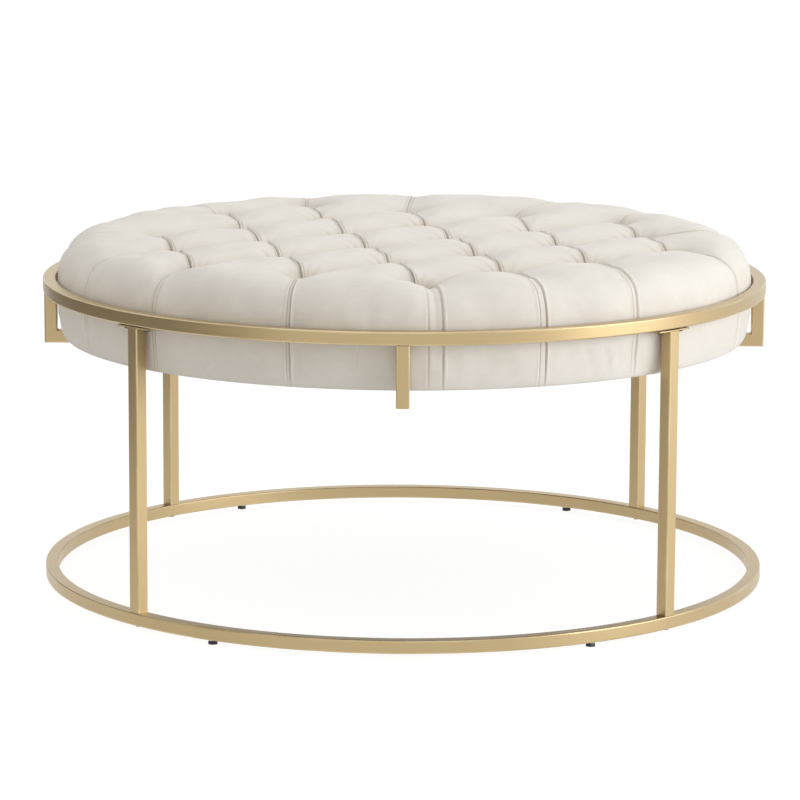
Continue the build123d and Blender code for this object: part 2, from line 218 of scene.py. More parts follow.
def brushing_group():
    """Noise on coordinates squeezed along the grain: fine hairlines, as a value from 0 to 1."""
    stretch = {label: ("Float", value) for label, value in hairline_stretch.items()}
    tree, given, result = group("brushing", {"Vector": ("Vector", None), **stretch}, {"Lines": "Float"})
    stretch = node(tree, "CombineXYZ", {"X": given["Along"], "Y": given["Across"], "Z": given["Across"]})
    squeezed = node(tree, "VectorMath", {0: given["Vector"], 1: stretch.outputs[0]}, operation="MULTIPLY")
    noise = node(tree, "TexNoise", {"Vector": squeezed.outputs[0], "Scale": 1.0, "Detail": 3.0})
    tree.links.new(noise.outputs[0], result["Lines"])
    return tree


def wear_group():
    """The stored corner value times a blotchy noise: a mask of the polished parts of the edges."""
    tree, given, result = group(
        "wear", {"Corner": ("Float", 0.0), "Vector": ("Vector", None), "Amount": ("Float", 0.5)},
        {"Mask": "Float"})
    noise = node(tree, "TexNoise", {"Vector": given["Vector"], "Scale": 9.0, "Detail": 5.0})
    patches = ranged(tree, noise.outputs[0], *wear_span)
    both = reckoned(tree, "MULTIPLY", given["Corner"], patches)
    tree.links.new(reckoned(tree, "MULTIPLY", both, given["Amount"], use_clamp=True), result["Mask"])
    return tree


def mottled(tree, vector, scale, low=0.0, high=1.0):
    """The mottle of a material at a scale, between a low and a high value."""
    return use(tree, mottle, {"Vector": vector, "Scale": scale, "Low": low, "High": high})["Value"]


mottle, brushing, wear = mottle_group(), brushing_group(), wear_group()
print("groups:", ", ".join(g.name for g in bpy.data.node_groups))

# %% [markdown]
# ## Plated metal
# The frame is steel with a satin champagne-gold finish under a thin clear coat. Satin is a mid roughness
# with hairlines that run along the tube, and they are drawn in the tube's own UV map, whose first direction
# is the length in metres. The same recipe with other values gives plain steel, zinc, black oxide and brass.

# %% Metal finishes
hairline_height, hairline_shade = 0.00002, (0.93, 1.04)
gloss_swing, patch_swing, patch_scale = 0.05, 0.03, 14.0
coat_roughness, worn_share = 0.4, 0.6


def metal(name, colour, polished, roughness, mapped=False, coat=0.0):
    """A metal with hairlines: gloss and colour vary with them, and a bump raises them a little."""
    material, tree, principled = shader(name, Metallic=1.0, Coat_Weight=coat, Coat_Roughness=coat_roughness)
    place = node(tree, "TexCoord").outputs
    lines = use(tree, brushing, {"Vector": place["UV" if mapped else "Object"], **hairline_stretch})["Lines"]
    patch = mottled(tree, place["Object"], patch_scale, -patch_swing, patch_swing)
    corner = node(tree, "Attribute", attribute_name="corner").outputs["Fac"]
    rubbed = use(tree, wear, {"Corner": corner, "Vector": place["Object"], "Amount": worn_share})["Mask"]
    tint = mixed(tree, rubbed, (*colour, 1), (*polished, 1))
    shade = ranged(tree, lines, *noise_span, *hairline_shade)
    gloss = ranged(tree, lines, *noise_span, roughness - gloss_swing, roughness + gloss_swing)
    bump = node(tree, "Bump", {"Height": lines, "Strength": 0.6, "Distance": hairline_height})
    link_all(tree, principled, Base_Color=mixed(tree, 1.0, tint, shade, "MULTIPLY"),
             Roughness=reckoned(tree, "ADD", gloss, patch), Normal=bump.outputs[0])
    return material


champagne = metal("champagne_gold_satin", (0.51, 0.385, 0.20), (0.72, 0.60, 0.38), 0.40, mapped=True,
                  coat=0.5)
plain_steel = metal("plain_steel", (0.42, 0.41, 0.39), (0.5, 0.5, 0.48), 0.42)
zinc = metal("bright_zinc", (0.60, 0.61, 0.63), (0.75, 0.75, 0.76), 0.28)
black_oxide = metal("black_oxide", (0.035, 0.034, 0.033), (0.12, 0.11, 0.10), 0.36)
brass = metal("bright_brass", (0.72, 0.53, 0.24), (0.85, 0.68, 0.38), 0.24)
print("metals:", [m.name for m in (champagne, plain_steel, zinc, black_oxide, brass)])

# %% [markdown]
# ## Velvet
# Velvet is a short dense pile. Seen along the pile it glows at grazing angles, which is what sheen is
# for, and wherever a hand has brushed it the nap lies another way and the tone changes. So the colour
# mixes two ivories by a large soft noise, a smaller one adds streaks, and a fine bump is the pile. Down in
# a valley or a fold the colour is also mixed towards a warm brown. That is painted shade, for the shadow
# there and the warm light that velvet throws onto velvet. The `corner` value says how deep in a crease a
# point lies, and so how much painted shade it gets.

# %% Velvet
# The third colour and its share are painted shade: a warm brown that creases are mixed towards, for their
# shadow.
nap_up, nap_down, crease_shade_colour = (0.86, 0.845, 0.81, 1), (0.80, 0.78, 0.74, 1), (0.50, 0.40, 0.30, 1)
crease_shade_share = 0.85
sheen, sheen_roughness, sheen_tint, mirrored_share = 0.45, 0.45, (0.98, 0.98, 1.0, 1), 0.15
brushed_scale, streak_scale, crush_scale, pile_scale = 16.0, 60.0, 220.0, 1400.0
brushed_strength, streak_strength, crush_strength = 0.6, 0.4, 0.5
streak_turn, streak_stretch = (0.2, 0.0, 0.5), (1.0, 3.2, 1.6)
pile_height, pile_roughness = 0.0004, (0.78, 0.92)


def velvet_material():
    """Two ivories mixed by the lie of the nap, painted warm shade in creases, a sheen, and a bump for the
    pile.
    """
    material, tree, principled = shader(
        "ivory_velvet", Sheen_Weight=sheen, Sheen_Roughness=sheen_roughness, Sheen_Tint=sheen_tint,
        Specular_IOR_Level=mirrored_share)
    place = node(tree, "TexCoord").outputs["Object"]
    leaning = node(tree, "Mapping", {"Vector": place, "Rotation": streak_turn, "Scale": streak_stretch})
    leaning = leaning.outputs[0]
    brushed = mottled(tree, place, brushed_scale, high=brushed_strength)
    streaks = mottled(tree, leaning, streak_scale, high=streak_strength)
    lie = reckoned(tree, "ADD", brushed, streaks, use_clamp=True)
    # On the seat cover the corner value is the amount of painted crease shade, and it mixes the ivories
    # towards the warm brown.
    crease = node(tree, "Attribute", attribute_name="corner").outputs["Fac"]
    painted_shade_mix = reckoned(tree, "MULTIPLY", crease, crease_shade_share, use_clamp=True)
    pile = node(tree, "TexNoise", {"Vector": place, "Scale": pile_scale, "Detail": 2.0}).outputs[0]
    crush = node(tree, "TexNoise", {"Vector": leaning, "Scale": crush_scale, "Detail": 3.0}).outputs[0]
    height = node(tree, "Math", {0: crush, 1: crush_strength, 2: pile}, operation="MULTIPLY_ADD")
    bump = node(tree, "Bump", {"Height": height.outputs[0], "Strength": 0.5, "Distance": pile_height})
    colour = mixed(tree, painted_shade_mix, mixed(tree, lie, nap_up, nap_down), crease_shade_colour)
    link_all(tree, principled, Base_Color=colour, Roughness=ranged(tree, lie, 0.0, 1.0, *pile_roughness),
             Normal=bump.outputs[0])
    return material


velvet = velvet_material()
print("material", velvet.name)

# %% [markdown]
# ## Hidden and small finishes
# The other finishes are simpler and differ mostly in their colours, gloss and the size of their grain, so
# one function makes them: two colours mixed by mottle on coordinates that may be stretched, and a bump.

# %% Plain finishes
def plain(name, light, dark, roughness, grain, stretch=(1, 1, 1), bump_height=0.0002):
    """Two colours mixed by a blotchy noise on stretched coordinates, with a bump from the same noise."""
    material, tree, principled = shader(name, Roughness=roughness)
    scaled = node(tree, "Mapping", {"Vector": node(tree, "TexCoord").outputs["Object"], "Scale": stretch})
    spots = mottled(tree, scaled.outputs[0], grain)
    bump = node(tree, "Bump", {"Height": spots, "Strength": 0.5, "Distance": bump_height})
    link_all(tree, principled, Base_Color=mixed(tree, spots, (*light, 1), (*dark, 1)),
             Normal=bump.outputs[0])
    return material


nylon = plain("black_nylon", (0.022, 0.022, 0.022), (0.035, 0.035, 0.034), 0.42, 900)
plywood = plain("raw_plywood", (0.62, 0.42, 0.22), (0.46, 0.29, 0.14), 0.65, 9, stretch=(1, 14, 60))
cambric = plain("black_cambric", (0.012, 0.012, 0.012), (0.03, 0.03, 0.03), 0.9, 1300, bump_height=0.0003)
foam_finish = plain("open_cell_foam", (0.82, 0.74, 0.42), (0.66, 0.56, 0.28), 0.9, 700, bump_height=0.0006)
wadding_finish = plain("polyester_wadding", (0.85, 0.85, 0.84), (0.7, 0.7, 0.69), 0.95, 260,
                       stretch=(1, 1, 4), bump_height=0.0008)
twine = plain("waxed_twine", (0.68, 0.62, 0.5), (0.5, 0.44, 0.33), 0.7, 1800, stretch=(1, 1, 0.2))
print("plain finishes:", len(bpy.data.materials), "materials so far")

# %% [markdown]
# ## Surfaces from numbers
# A new piece is one or more grids of points, worked out with numpy as whole arrays. `sheet_faces` joins a
# grid's neighbours into four-sided faces. Where a surface closes on itself its last row or column
# repeats the first, so that the UV map has a seam, and `weld` then merges the points there.

# %% Mesh helpers
weld_distance = 1e-5
sharp_angle = 50


def sheet_faces(rows, columns):
    """The four corners of each cell of a grid whose points are counted row by row."""
    corner = np.arange(rows - 1)[:, None] * columns + np.arange(columns - 1)[None]
    return np.stack([corner, corner + 1, corner + columns + 1, corner + columns], axis=-1).reshape(-1, 4)


def length_along(points):
    """The distance of each point of a row from its first point, along the row."""
    return np.concatenate([[0], np.cumsum(np.linalg.norm(np.diff(points, axis=0), axis=1))])


def capped(points, first, last):
    """A grid closed at its first and last row by rows that are one point each."""
    ends = [np.broadcast_to(end, points[:1].shape) for end in (first, last)]
    return np.concatenate([ends[0], points, ends[1]])


def turned_outwards(points, faces):
    """Reverse the faces of a closed form if its volume, summed over them about the middle, is negative."""
    p = points - points.mean(axis=0)
    volume = np.einsum("ij,ij->i", p[faces[:, 0]], np.cross(p[faces[:, 1]], p[faces[:, 2]])).sum()
    volume += np.einsum("ij,ij->i", p[faces[:, 0]], np.cross(p[faces[:, 2]], p[faces[:, 3]])).sum()
    return faces if volume > 0 else faces[:, ::-1]


def weld(mesh):
    """Merge points that share a place, and drop the faces that this leaves without an area."""
    work = bmesh.new()
    work.from_mesh(mesh)
    bmesh.ops.remove_doubles(work, verts=work.verts, dist=weld_distance)
    bmesh.ops.dissolve_degenerate(work, edges=work.edges, dist=weld_distance / 10)
    work.to_mesh(mesh)
    work.free()
    mesh.update()


def build(name, grids, material, stands_for=None, body="frame", closed=True, smooth=True):
    """Join grids of points (rows, columns, 3), each with an optional (rows, columns, 3) map of u, v and
    corner value, into one welded piece that rides a body and stands for a node of the frame."""
    points, faces, maps, start = [], [], [], 0
    for grid, uv in grids:
        flat = grid.reshape(-1, 3)
        cells = sheet_faces(*grid.shape[:2])
        points.append(flat)
        faces.append((turned_outwards(flat, cells) if closed else cells) + start)
        maps.append(np.zeros_like(flat) if uv is None else uv.reshape(-1, 3))
        start += len(flat)
    points, faces, maps = np.concatenate(points), np.concatenate(faces), np.concatenate(maps)
    mesh = bpy.data.meshes.new(name)
    mesh.from_pydata(points, [], faces)
    layer = mesh.uv_layers.new(name="length_and_girth")
    layer.data.foreach_set("uv", maps[faces.ravel(), :2].astype(np.float32).ravel())
    # On the tubes the corner value marks the rounded edges for wear; on the seat cover it is painted crease
    # shade.
    corner = mesh.attributes.new("corner", "FLOAT", "POINT")
    corner.data.foreach_set("value", maps[:, 2].astype(np.float32))
    weld(mesh)
    mesh.polygons.foreach_set("use_smooth", np.full(len(mesh.polygons), smooth))
    if closed:
        mesh.set_sharp_from_angle(angle=radians(sharp_angle))
    mesh.materials.append(material)
    piece = put(name, mesh)
    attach(piece, body)
    if stands_for:
        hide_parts(stands_for)
    return piece


# %% [markdown]
# ## Square tube
# Real square tube has rounded corners, and the thin highlight along them is most of what the eye reads as
# metal. The outline is four quarter circles with a point just before and after each, so that
# smooth shading stays flat on the flats. Carried along a path it makes hoops and straight tubes alike.

# %% Tube outline
tube_round = 0.0016
corner_steps, flat_margin = 5, 0.3
hoop_steps = 240


def rounded_outline(width, height, radius, steps=corner_steps):
    """Once round a rectangle with quarter-circle corners: x, y, girth so far and 1 on the corners."""
    turn = np.linspace(0, pi / 2, steps)
    turn = np.concatenate([[0], turn, [pi / 2]])
    slip = np.concatenate([[-flat_margin], np.zeros(steps), [flat_margin]]) * radius
    places = []
    for quarter in range(4):
        angle = turn + quarter * pi / 2
        side_x = 1 if quarter in (0, 3) else -1
        side_y = 1 if quarter in (0, 1) else -1
        x = side_x * (width / 2 - radius) + radius * np.cos(angle) - slip * np.sin(angle)
        y = side_y * (height / 2 - radius) + radius * np.sin(angle) + slip * np.cos(angle)
        places.append(np.stack([x, y], axis=-1))
    outline = np.concatenate(places + [places[0][:1]])
    mark = np.tile(np.concatenate([[0], np.ones(steps), [0]]), 4)
    return outline, length_along(outline), np.concatenate([mark, mark[:1]])


def carried(outline, girth, mark, centres, across, up):
    """Carry an outline along a path: each point is centre + x·across + y·up, with its length and girth."""
    points = (centres[:, None] + outline[None, :, :1] * across[:, None] + outline[None, :, 1:] * up[:, None])
    length, round_it = np.broadcast_arrays(length_along(centres)[:, None], girth[None])
    return points, np.stack([length, round_it, np.broadcast_to(mark, length.shape)], axis=-1)


def at_azimuth(points, azimuth):
    """Swing points from the front of the table round to an azimuth."""
    turn = radians(azimuth)
    swing = np.array([[cos(turn), sin(turn), 0], [-sin(turn), cos(turn), 0], [0, 0, 1]])
    return points @ swing


def arc(radius, height, first, last, steps):
    """Centres, outward directions and upward directions along a level arc between two azimuths."""
    angle = np.radians(np.linspace(first, last, steps))
    outward = np.stack([np.sin(angle), -np.cos(angle), np.zeros_like(angle)], axis=-1)
    upward = np.broadcast_to([0.0, 0.0, 1.0], outward.shape)
    return outward * radius + [0, 0, height], outward, upward


def tube_piece(name, grid):
    """A tube of the frame, in place of its node."""
    return build(name + "_tube", [grid], champagne, name)


def hoop(name):
    """A hoop: the tube outline carried once round the table."""
    low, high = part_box(name)
    centres, outward, upward = arc(hoop_middle, (low.z + high.z) / 2, 0, 360, hoop_steps + 1)
    return tube_piece(name, carried(*rounded_outline(tube, tube, tube_round), centres, outward, upward))


hoops = [hoop("upper_hoop"), hoop("lower_hoop")]
print("hoops:", [len(h.data.polygons) for h in hoops], "faces")

# %% [markdown]
# ## Straight tubes with mitres
# A hanger turns into its cross bar through a mitre, a cut at 45 degrees. With x measured towards the outer
# side of the corner, a mitred end simply runs x further on one piece and x less on the other. The bore is
# the same outline, smaller, carried back, so each tube is a closed form with a real wall.

# %% Legs, hangers and cross
tube_wall = 0.0015
leg_low, leg_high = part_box("leg_front_left")


def straight_tube(start, end, outer_side, lean_start=0.0, lean_end=0.0):
    """A hollow tube from start to end: both ends are shifted along it by lean·x, x towards outer_side."""
    start, end, side = (np.array(v, float) for v in (start, end, outer_side))
    along = (end - start) / np.linalg.norm(end - start)
    other = np.cross(along, side)
    outline, girth, mark = rounded_outline(tube, tube, tube_round)
    bore = rounded_outline(tube - 2 * tube_wall, tube - 2 * tube_wall, tube_round / 2)[0]
    rows, lengths = [], []
    for shape, base, lean in ((outline, start, lean_start), (outline, end, lean_end),
                              (bore, end, lean_end), (bore, start, lean_start), (outline, start, lean_start)):
        rows.append(base + shape[:, :1] * (side + lean * along) + shape[:, 1:] * other)
        lengths.append(np.full(len(shape), (base - start) @ along))
    uv = np.stack([np.array(lengths), np.broadcast_to(girth, (len(rows), len(girth))),
                   np.broadcast_to(mark, (len(rows), len(mark)))], axis=-1)
    return np.array(rows), uv


def front(radius, height):
    """A place at the front of the table."""
    return (0, -radius, height)


def straight_piece(name, azimuth, *runs_between, **leans):
    """A straight tube worked out at the front of the table and swung round to its azimuth."""
    points, uv = straight_tube(*runs_between, **leans)
    tube_piece(name, (at_azimuth(points, azimuth), uv))


bar_middle = (bar_low.z + bar_high.z) / 2
outward, upward = (0, -1, 0), (0, 0, 1)
mitre = front(hoop_middle, bar_middle)
for corner, azimuth in leg_azimuths.items():
    straight_piece(f"leg_{corner}", azimuth, front(hoop_middle, leg_low.z), front(hoop_middle, leg_high.z),
                   outward)
for side, azimuth in hanger_azimuths.items():
    straight_piece(f"hanger_{side}", azimuth, front(hoop_middle, hoop_low.z), mitre, outward, lean_end=1)
straight_piece("cross_bar_long", 0, mitre, front(-hoop_middle, bar_middle), upward, lean_start=1, lean_end=-1)
for side in ("right", "left"):
    straight_piece(f"cross_bar_{side}", hanger_azimuths[side], mitre, front(tube / 2, bar_middle), upward,
                   lean_start=1)
print("straight tubes: 4 legs, 4 hangers, 3 bars")

# %% [markdown]
# ## Leg plates
# Each leg ends in a small plate bent to the hoop's curve and screwed up into it. A thin dark gap is left
# between the plate and the hoop by the flanges of the inserts. It is a flat rounded outline carried along
# a short arc, closed at both ends by the same outline shrunk to a point.

# %% Leg plates
plate_round, plate_steps = 0.0005, 24
plate_length, plate_bend = 0.052, 0.4492
plate_half_angle = plate_length / plate_bend / 2 * 180 / pi


def plate_grid(low, high):
    """The plate: its full section carried along the arc, closed at both ends by a row that is one point."""
    section = rounded_outline(tube, high - low, plate_round)
    centres, outward, upward = arc(hoop_middle, (low + high) / 2, -plate_half_angle, plate_half_angle,
                                   plate_steps)
    points, uv = carried(*section, centres, outward, upward)
    return capped(points, centres[0], centres[-1]), np.concatenate([uv[:1], uv, uv[-1:]])


for corner, azimuth in leg_azimuths.items():
    low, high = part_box(f"leg_plate_{corner}")
    points, uv = plate_grid(low.z, high.z)
    build(f"leg_plate_{corner}_bent", [(at_azimuth(points, azimuth), uv)], champagne,
          f"leg_plate_{corner}")
print("leg plates span", round(2 * plate_half_angle, 2), "degrees each")

# %% [markdown]
# ## Screws, washers, inserts and feet
# All of these are turned: a profile of radius and height swept round an upright axis. A screw's
# socket and a levelling foot are hexagons instead of circles, so each profile point also says how far it
# goes from round to hexagonal. A radius at angle a becomes a hexagon's with cos 30° / cos(a mod 60° − 30°).

# %% Turned pieces
turned_steps, edge_ease = 36, 0.0002
socket_depth, socket_rim, head_side, head_edge = 0.65, 1.15, 0.93, 0.25


def turned_grid(profile, centre, steps=turned_steps):
    """A profile of (radius, height, share of hexagon) turned about an upright line through centre."""
    profile = np.array(profile, float)
    angle = np.linspace(0, tau, steps + 1)
    hexagon = cos(pi / 6) / np.cos(angle % (pi / 3) - pi / 6)
    radius = profile[:, :1] * (1 - profile[:, 2:] + profile[:, 2:] * hexagon)
    height = np.broadcast_to(profile[:, 1:2], radius.shape)
    points = np.stack([radius * np.cos(angle), radius * np.sin(angle), height], axis=-1) + centre
    uv = np.stack([angle * radius, height, np.zeros_like(radius)], axis=-1)
    return points, uv


def screw_profile(reach, low, high, shank, head_top, dome=0.35, socket_share=0.5):
    """A button head with a hexagonal socket below, and its shank above."""
    head, key = head_top - low, reach * socket_share
    deep = low + head * socket_depth
    return [(0, deep, 1), (key, deep, 1), (key, low + edge_ease, 1), (key * socket_rim, low, 0.5),
            (reach * (1 - dome), low + edge_ease / 2, 0), (reach * head_side, low + head * dome, 0),
            (reach, head_top - head * head_edge, 0), (reach, head_top, 0), (shank, head_top, 0),
            (shank, high, 0), (0, high, 0)]


def ring_profile(reach, low, high, inner, ease=0.00015):
    """A flat ring with eased outer edges."""
    return [(inner, low, 0), (reach - ease, low, 0), (reach, low + ease, 0), (reach, high - ease, 0),
            (reach - ease, high, 0), (inner, high, 0), (inner, low, 0)]


def islands(name):
    """The middle, radius and height range of each separate solid in a node, from its loose parts."""
    work = bmesh.new()
    work.from_mesh(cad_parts[name].data)
    bmesh.ops.remove_doubles(work, verts=work.verts, dist=weld_distance)
    left, found = set(work.verts), []
    while left:
        stack, members = [left.pop()], []
        while stack:
            vertex = stack.pop()
            members.append(vertex.co.copy())
            near = {e.other_vert(vertex) for e in vertex.link_edges} & left
            left -= near
            stack.extend(near)
        places = np.array(members)
        low, high = places.min(axis=0), places.max(axis=0)
        middle = (low + high) / 2
        reach = np.linalg.norm(places[:, :2] - middle[:2], axis=1).max()
        found.append((middle, reach, low[2], high[2]))
    work.free()
    return sorted(found, key=lambda item: tuple(np.round(item[0], 4)))


def turned_group(name, node_name, material, slot, profile_of, *sizes):
    """One piece that holds a turned form at the place of every solid of a node."""
    grids = [turned_grid(profile_of(reach, low, high, *sizes), (*middle[:2], 0))
             for middle, reach, low, high in islands(node_name)]
    return build(name, grids, material, node_name)


def underside(name):
    """The height of a node's lowest point."""
    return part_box(name)[0].z


plate_shank, bolt_shank, washer_bore = 0.0025, 0.003, 0.0033
screws = (("plate_screws", "button", plate_shank, "leg_plate_front_left"),
          ("foot_bolts", "low_head", bolt_shank, "foot_washers"),
          ("seat_screws", "pan", bolt_shank, "seat_washers"))
for name, kind, shank, held in screws:
    turned_group(f"{name}_{kind}", name, black_oxide, "dark_bolts", screw_profile, shank, underside(held))
turned_group("foot_washers_brass", "foot_washers", brass, "brass_washers", ring_profile, washer_bore)
turned_group("seat_washers_flat", "seat_washers", zinc, "zinc", ring_profile, washer_bore)
print("turned fasteners in 5 pieces")

# %% [markdown]
# ## Inserts and levelling glides
# Threaded inserts sit in the hoops, and only their flanges show. A glide is a hexagonal nylon pad on a
# threaded stem. Its thread is a real helix: the radius of the stem rises and falls once each pitch, and
# the wave is shifted by one pitch on the way round. Pad and stem ride the glide's own body.

# %% Inserts and glides
thread_pitch, thread_depth = 0.001, 0.00035
thread_steps, rows_a_turn = 24, 6
stem_radius = 0.003
pad_steps, pad_ease, pad_top_hexagon = 48, 0.14, 0.7
pad_reach = 0.0055 / cos(pi / 6)
inserts = (("plate_inserts", 0.0035, 0.0026, hoop_low.z), ("glide_inserts", 0.0044, 0.0031, ring_low.z))


def insert_profile(reach, low, high, body, bore, seat):
    """An insert: a flange below the tube, a body with the screw's bore inside it."""
    return [(bore, low, 0), (reach - edge_ease, low, 0), (reach, low + edge_ease, 0), (reach, seat, 0),
            (body, seat, 0), (body, high, 0), (bore, high, 0), (bore, low, 0)]


def pad_profile(reach, low, high):
    """A hexagonal pad with a broad chamfer on top and a small one at the floor."""
    ease = (high - low) * pad_ease
    return [(0, low, 1), (reach - ease, low, 1), (reach, low + ease, 1), (reach, high - 2 * ease, 1),
            (reach - 2 * ease, high, pad_top_hexagon), (0, high, pad_top_hexagon)]


def threaded_grid(radius, low, high, centre):
    """A stem whose radius is a wave of height/pitch less the angle's share of a turn: a helix."""
    rows = int((high - low) / thread_pitch * rows_a_turn)
    height, angle = np.meshgrid(np.linspace(low, high, rows), np.linspace(0, tau, thread_steps + 1),
                                indexing="ij")
    wave = (1 + np.cos(tau * (height / thread_pitch) - angle)) / 2
    ease = np.clip((high - height) / thread_pitch, 0, 1) * np.clip((height - low) / thread_pitch, 0, 1)
    reach = radius - thread_depth * (1 - wave * ease)
    points = np.stack([reach * np.cos(angle), reach * np.sin(angle), height], axis=-1)
    return capped(points, (0, 0, low), (0, 0, high)) + centre, None


for name, *sizes in inserts:
    turned_group(name + "_flanged", name, zinc, "zinc", insert_profile, *sizes)
for corner, azimuth in glide_azimuths.items():
    body = f"glide_{corner}"
    centre = at_azimuth(np.array(front(hoop_middle, 0.0)), azimuth)
    low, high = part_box(f"glide_pad_{corner}")
    points, uv = turned_grid(pad_profile(pad_reach, low.z, high.z), (0, 0, 0), pad_steps)
    build(f"glide_pad_{corner}_hex", [(at_azimuth(points, azimuth) + centre, uv)], nylon,
          f"glide_pad_{corner}", body, smooth=False)
    low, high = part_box(f"glide_stem_{corner}")
    build(f"glide_stem_{corner}_threaded", [threaded_grid(stem_radius, low.z, high.z, centre)], zinc,
          f"glide_stem_{corner}", body)
print("glides stand on the floor at", round(underside("glide_pad_front_left"), 5))

# %% [markdown]
# ## The tufted seat
# Deep tufting starts with a lattice of points where twine draws the velvet down to the board. Between
# four of them stands a puffed diamond, and along each of its sides the spare cloth is folded into a
# pleat. Outside the last tufts the cloth runs over the shoulder, and from every border tuft one pleat
# goes down the side. The seat is built as one patch for each of these, so every pleat lies on an edge.

# %% The lattice of tufts
lattice_start_shares = (-0.0975, -0.1384)
diamond_long_share, diamond_short_share = 0.5055, 0.329
diamond_turn = 19.8
tuft_rows = {-2: (-2, 0), -1: (-3, 1), 0: (-3, 2), 1: (-2, 2), 2: (-1, 2), 3: (0, 2)}


def tuft_place(i, j):
    """A tuft counted along the two sides of the diamonds: start, less (i-j) half long diagonals and plus
    (i+j) half short ones, with the diagonals turned a little from the table's axes."""
    turn = radians(diamond_turn)
    long_half = seat_radius * diamond_long_share / 2
    short_half = seat_radius * diamond_short_share / 2
    down = np.array([-sin(turn), -cos(turn)]) * long_half
    right = np.array([cos(turn), -sin(turn)]) * short_half
    return seat_radius * np.array(lattice_start_shares) + (i - j) * down + (i + j) * right


tufts = [(i, j) for j, (first, last) in tuft_rows.items() for i in range(first, last + 1)]
diamond_corners = [(i, j) for i, j in tufts if {(i + 1, j), (i, j + 1), (i + 1, j + 1)} <= set(tufts)]
print(len(tufts), "tufts,", len(diamond_corners), "whole diamonds")

# %% [markdown]
# ### Height of a diamond
# Along a side the crease passes from a common depth at its two tufts to its own depth halfway, by a fourth
# power, so that most of its length is nearly level. Across a diamond the cloth leaves the crease steeply
# and is nearly flat in the middle, as a cushion is. The two rules are blended so that all four sides come
# out exactly at their crease, which keeps patches joined. Round every tuft the twine adds a pit.

# %% Diamonds
crown = hoop_high.z + 0.0525
tuft_depth, common_depth, pit_width = 0.038, 0.018, 0.017
crease_depths = {"across": 0.0065, "along": 0.024}
crease_power, plumpness, plump_spread = 4.0, 2.5, 0.0012
diamond_side = float(np.linalg.norm(tuft_place(1, 0) - tuft_place(0, 0)))
fine_share, fine_steps, broad_steps, even_part = 0.052, 10, 34, 0.2
random = np.random.default_rng(11)


def spaced_shares():
    """Shares of a patch's side from 0 to 1: even and close beside both creases, and wider in between."""
    fine = np.linspace(0, fine_share, fine_steps + 1)[:-1]
    even = np.linspace(0, 1, broad_steps + 1)
    eased = even_part * even + (1 - even_part) * (1 - np.cos(pi * even)) / 2
    broad = fine_share + (1 - 2 * fine_share) * eased
    return np.concatenate([fine, broad, 1 - fine[::-1]])


shares = spaced_shares()
patch_steps = len(shares)


def valley_line(share, own_depth):
    """Depth along a crease without its pits: the common depth at both tufts and its own halfway."""
    return own_depth + (common_depth - own_depth) * np.abs(2 * share - 1) ** crease_power


def bell(distance, width):
    """A bell curve: 1 at no distance, and nearly 0 from twice the width on."""
    return np.exp(-(distance / width) ** 2)


def pit(distance):
    """What the twine adds to the depth round a tuft: a bell curve of the distance."""
    return (tuft_depth - common_depth) * bell(distance, pit_width)


def hollow(share):
    """1 at both ends and 0 halfway: steep beside the crease and flat in the middle of the puff."""
    return np.abs(2 * share - 1) ** plumpness


def pits(place):
    """The pits of all tufts, each by its true distance."""
    return sum(pit(np.linalg.norm(place - tuft_place(*tuft), axis=-1)) for tuft in tufts)


def diamond(i, j):
    """The level base grid of one diamond and the depth of every point, on their creases at all four sides."""
    u, v = np.meshgrid(shares, shares)
    near = tuft_place(i, j) + u[..., None] * (tuft_place(i + 1, j) - tuft_place(i, j))
    far = tuft_place(i, j + 1) + u[..., None] * (tuft_place(i + 1, j + 1) - tuft_place(i, j + 1))
    place = near + v[..., None] * (far - near)
    side_u, side_v = hollow(u), hollow(v)
    along, across = valley_line(v, crease_depths["along"]), valley_line(u, crease_depths["across"])
    depth = side_u * along + side_v * across - side_u * side_v * common_depth
    plump = random.normal(0, plump_spread) * (1 - side_u) * (1 - side_v)
    return np.concatenate([place, np.full(u.shape + (1,), crown)], axis=-1), depth + pits(place) - plump


diamonds = {corner: diamond(*corner) for corner in diamond_corners}
print("a diamond's side is", round(diamond_side, 4), "m,", patch_steps, "points a side")

# %% [markdown]
# ### Over the shoulder and down the side
# Each border patch starts on a crease and ends under the board. Down the patch every column follows the
# seat's own profile: level on top, a cubic Bézier over the shoulder, a second one down the side, and then
# the turned-under hem. The depth depends on a point's place alone. Near a crease it is that of the crease,
# near a pleat it passes over to the pleat's own line, and round each tuft it has the tuft's pit. All three
# use true distances, so the pits stay round and neighbours agree along the edge that they share.
#
# A row of `border_pleats` is one pleat: its tuft, counted both ways, the azimuth that it ends at, how far
# apart its two grooves lie, and its sag, which is how far it stays down on its way to the shoulder.

# %% Border patches
border_pleats = (
    (2, 0, 5, 0.017, 0.026), (2, 1, 22, 0.008, 0.011), (2, 2, 39, 0.006, 0.010), (2, 3, 70, 0.006, 0.016),
    (1, 3, 98, 0.007, 0.008), (0, 3, 128, 0.006, 0.004), (-1, 2, 149, 0.008, 0.004),
    (-2, 1, 178, 0.006, 0.004), (-3, 0, 198, 0.006, 0.0), (-3, -1, 227, 0.007, 0.0),
    (-2, -2, 268, 0.006, 0.008), (-1, -2, 298, 0.008, 0.014), (0, -2, 317, 0.006, 0.025),
    (1, -1, 342, 0.004, 0.020),
)
inner_corners = {(0, -2): (0, -1), (1, -1): (1, 0), (0, 3): (0, 2), (-1, 2): (-1, 1),
                 (-2, 1): (-2, 0), (-3, -1): (-2, -1)}
pleat_depth, side_pleat_depth, sag_reach = 0.003, 0.0015, 0.072
shoulder_start, shoulder_pull, shoulder_steps = 0.355, 0.045, 80
belt_height = hoop_high.z - 0.010
draw_in, edge_run, hem_width = 0.0035, 0.006, 0.050
hem_radius = seat_radius - draw_in - hem_width
side_steps, hem_steps = 16, 5
early_turn = 2.2
border_shares = np.concatenate([np.linspace(0, 0.02, 6)[:-1], np.linspace(0.02, 0.06, 6)[:-1],
                                np.linspace(0.06, 1, 40)])


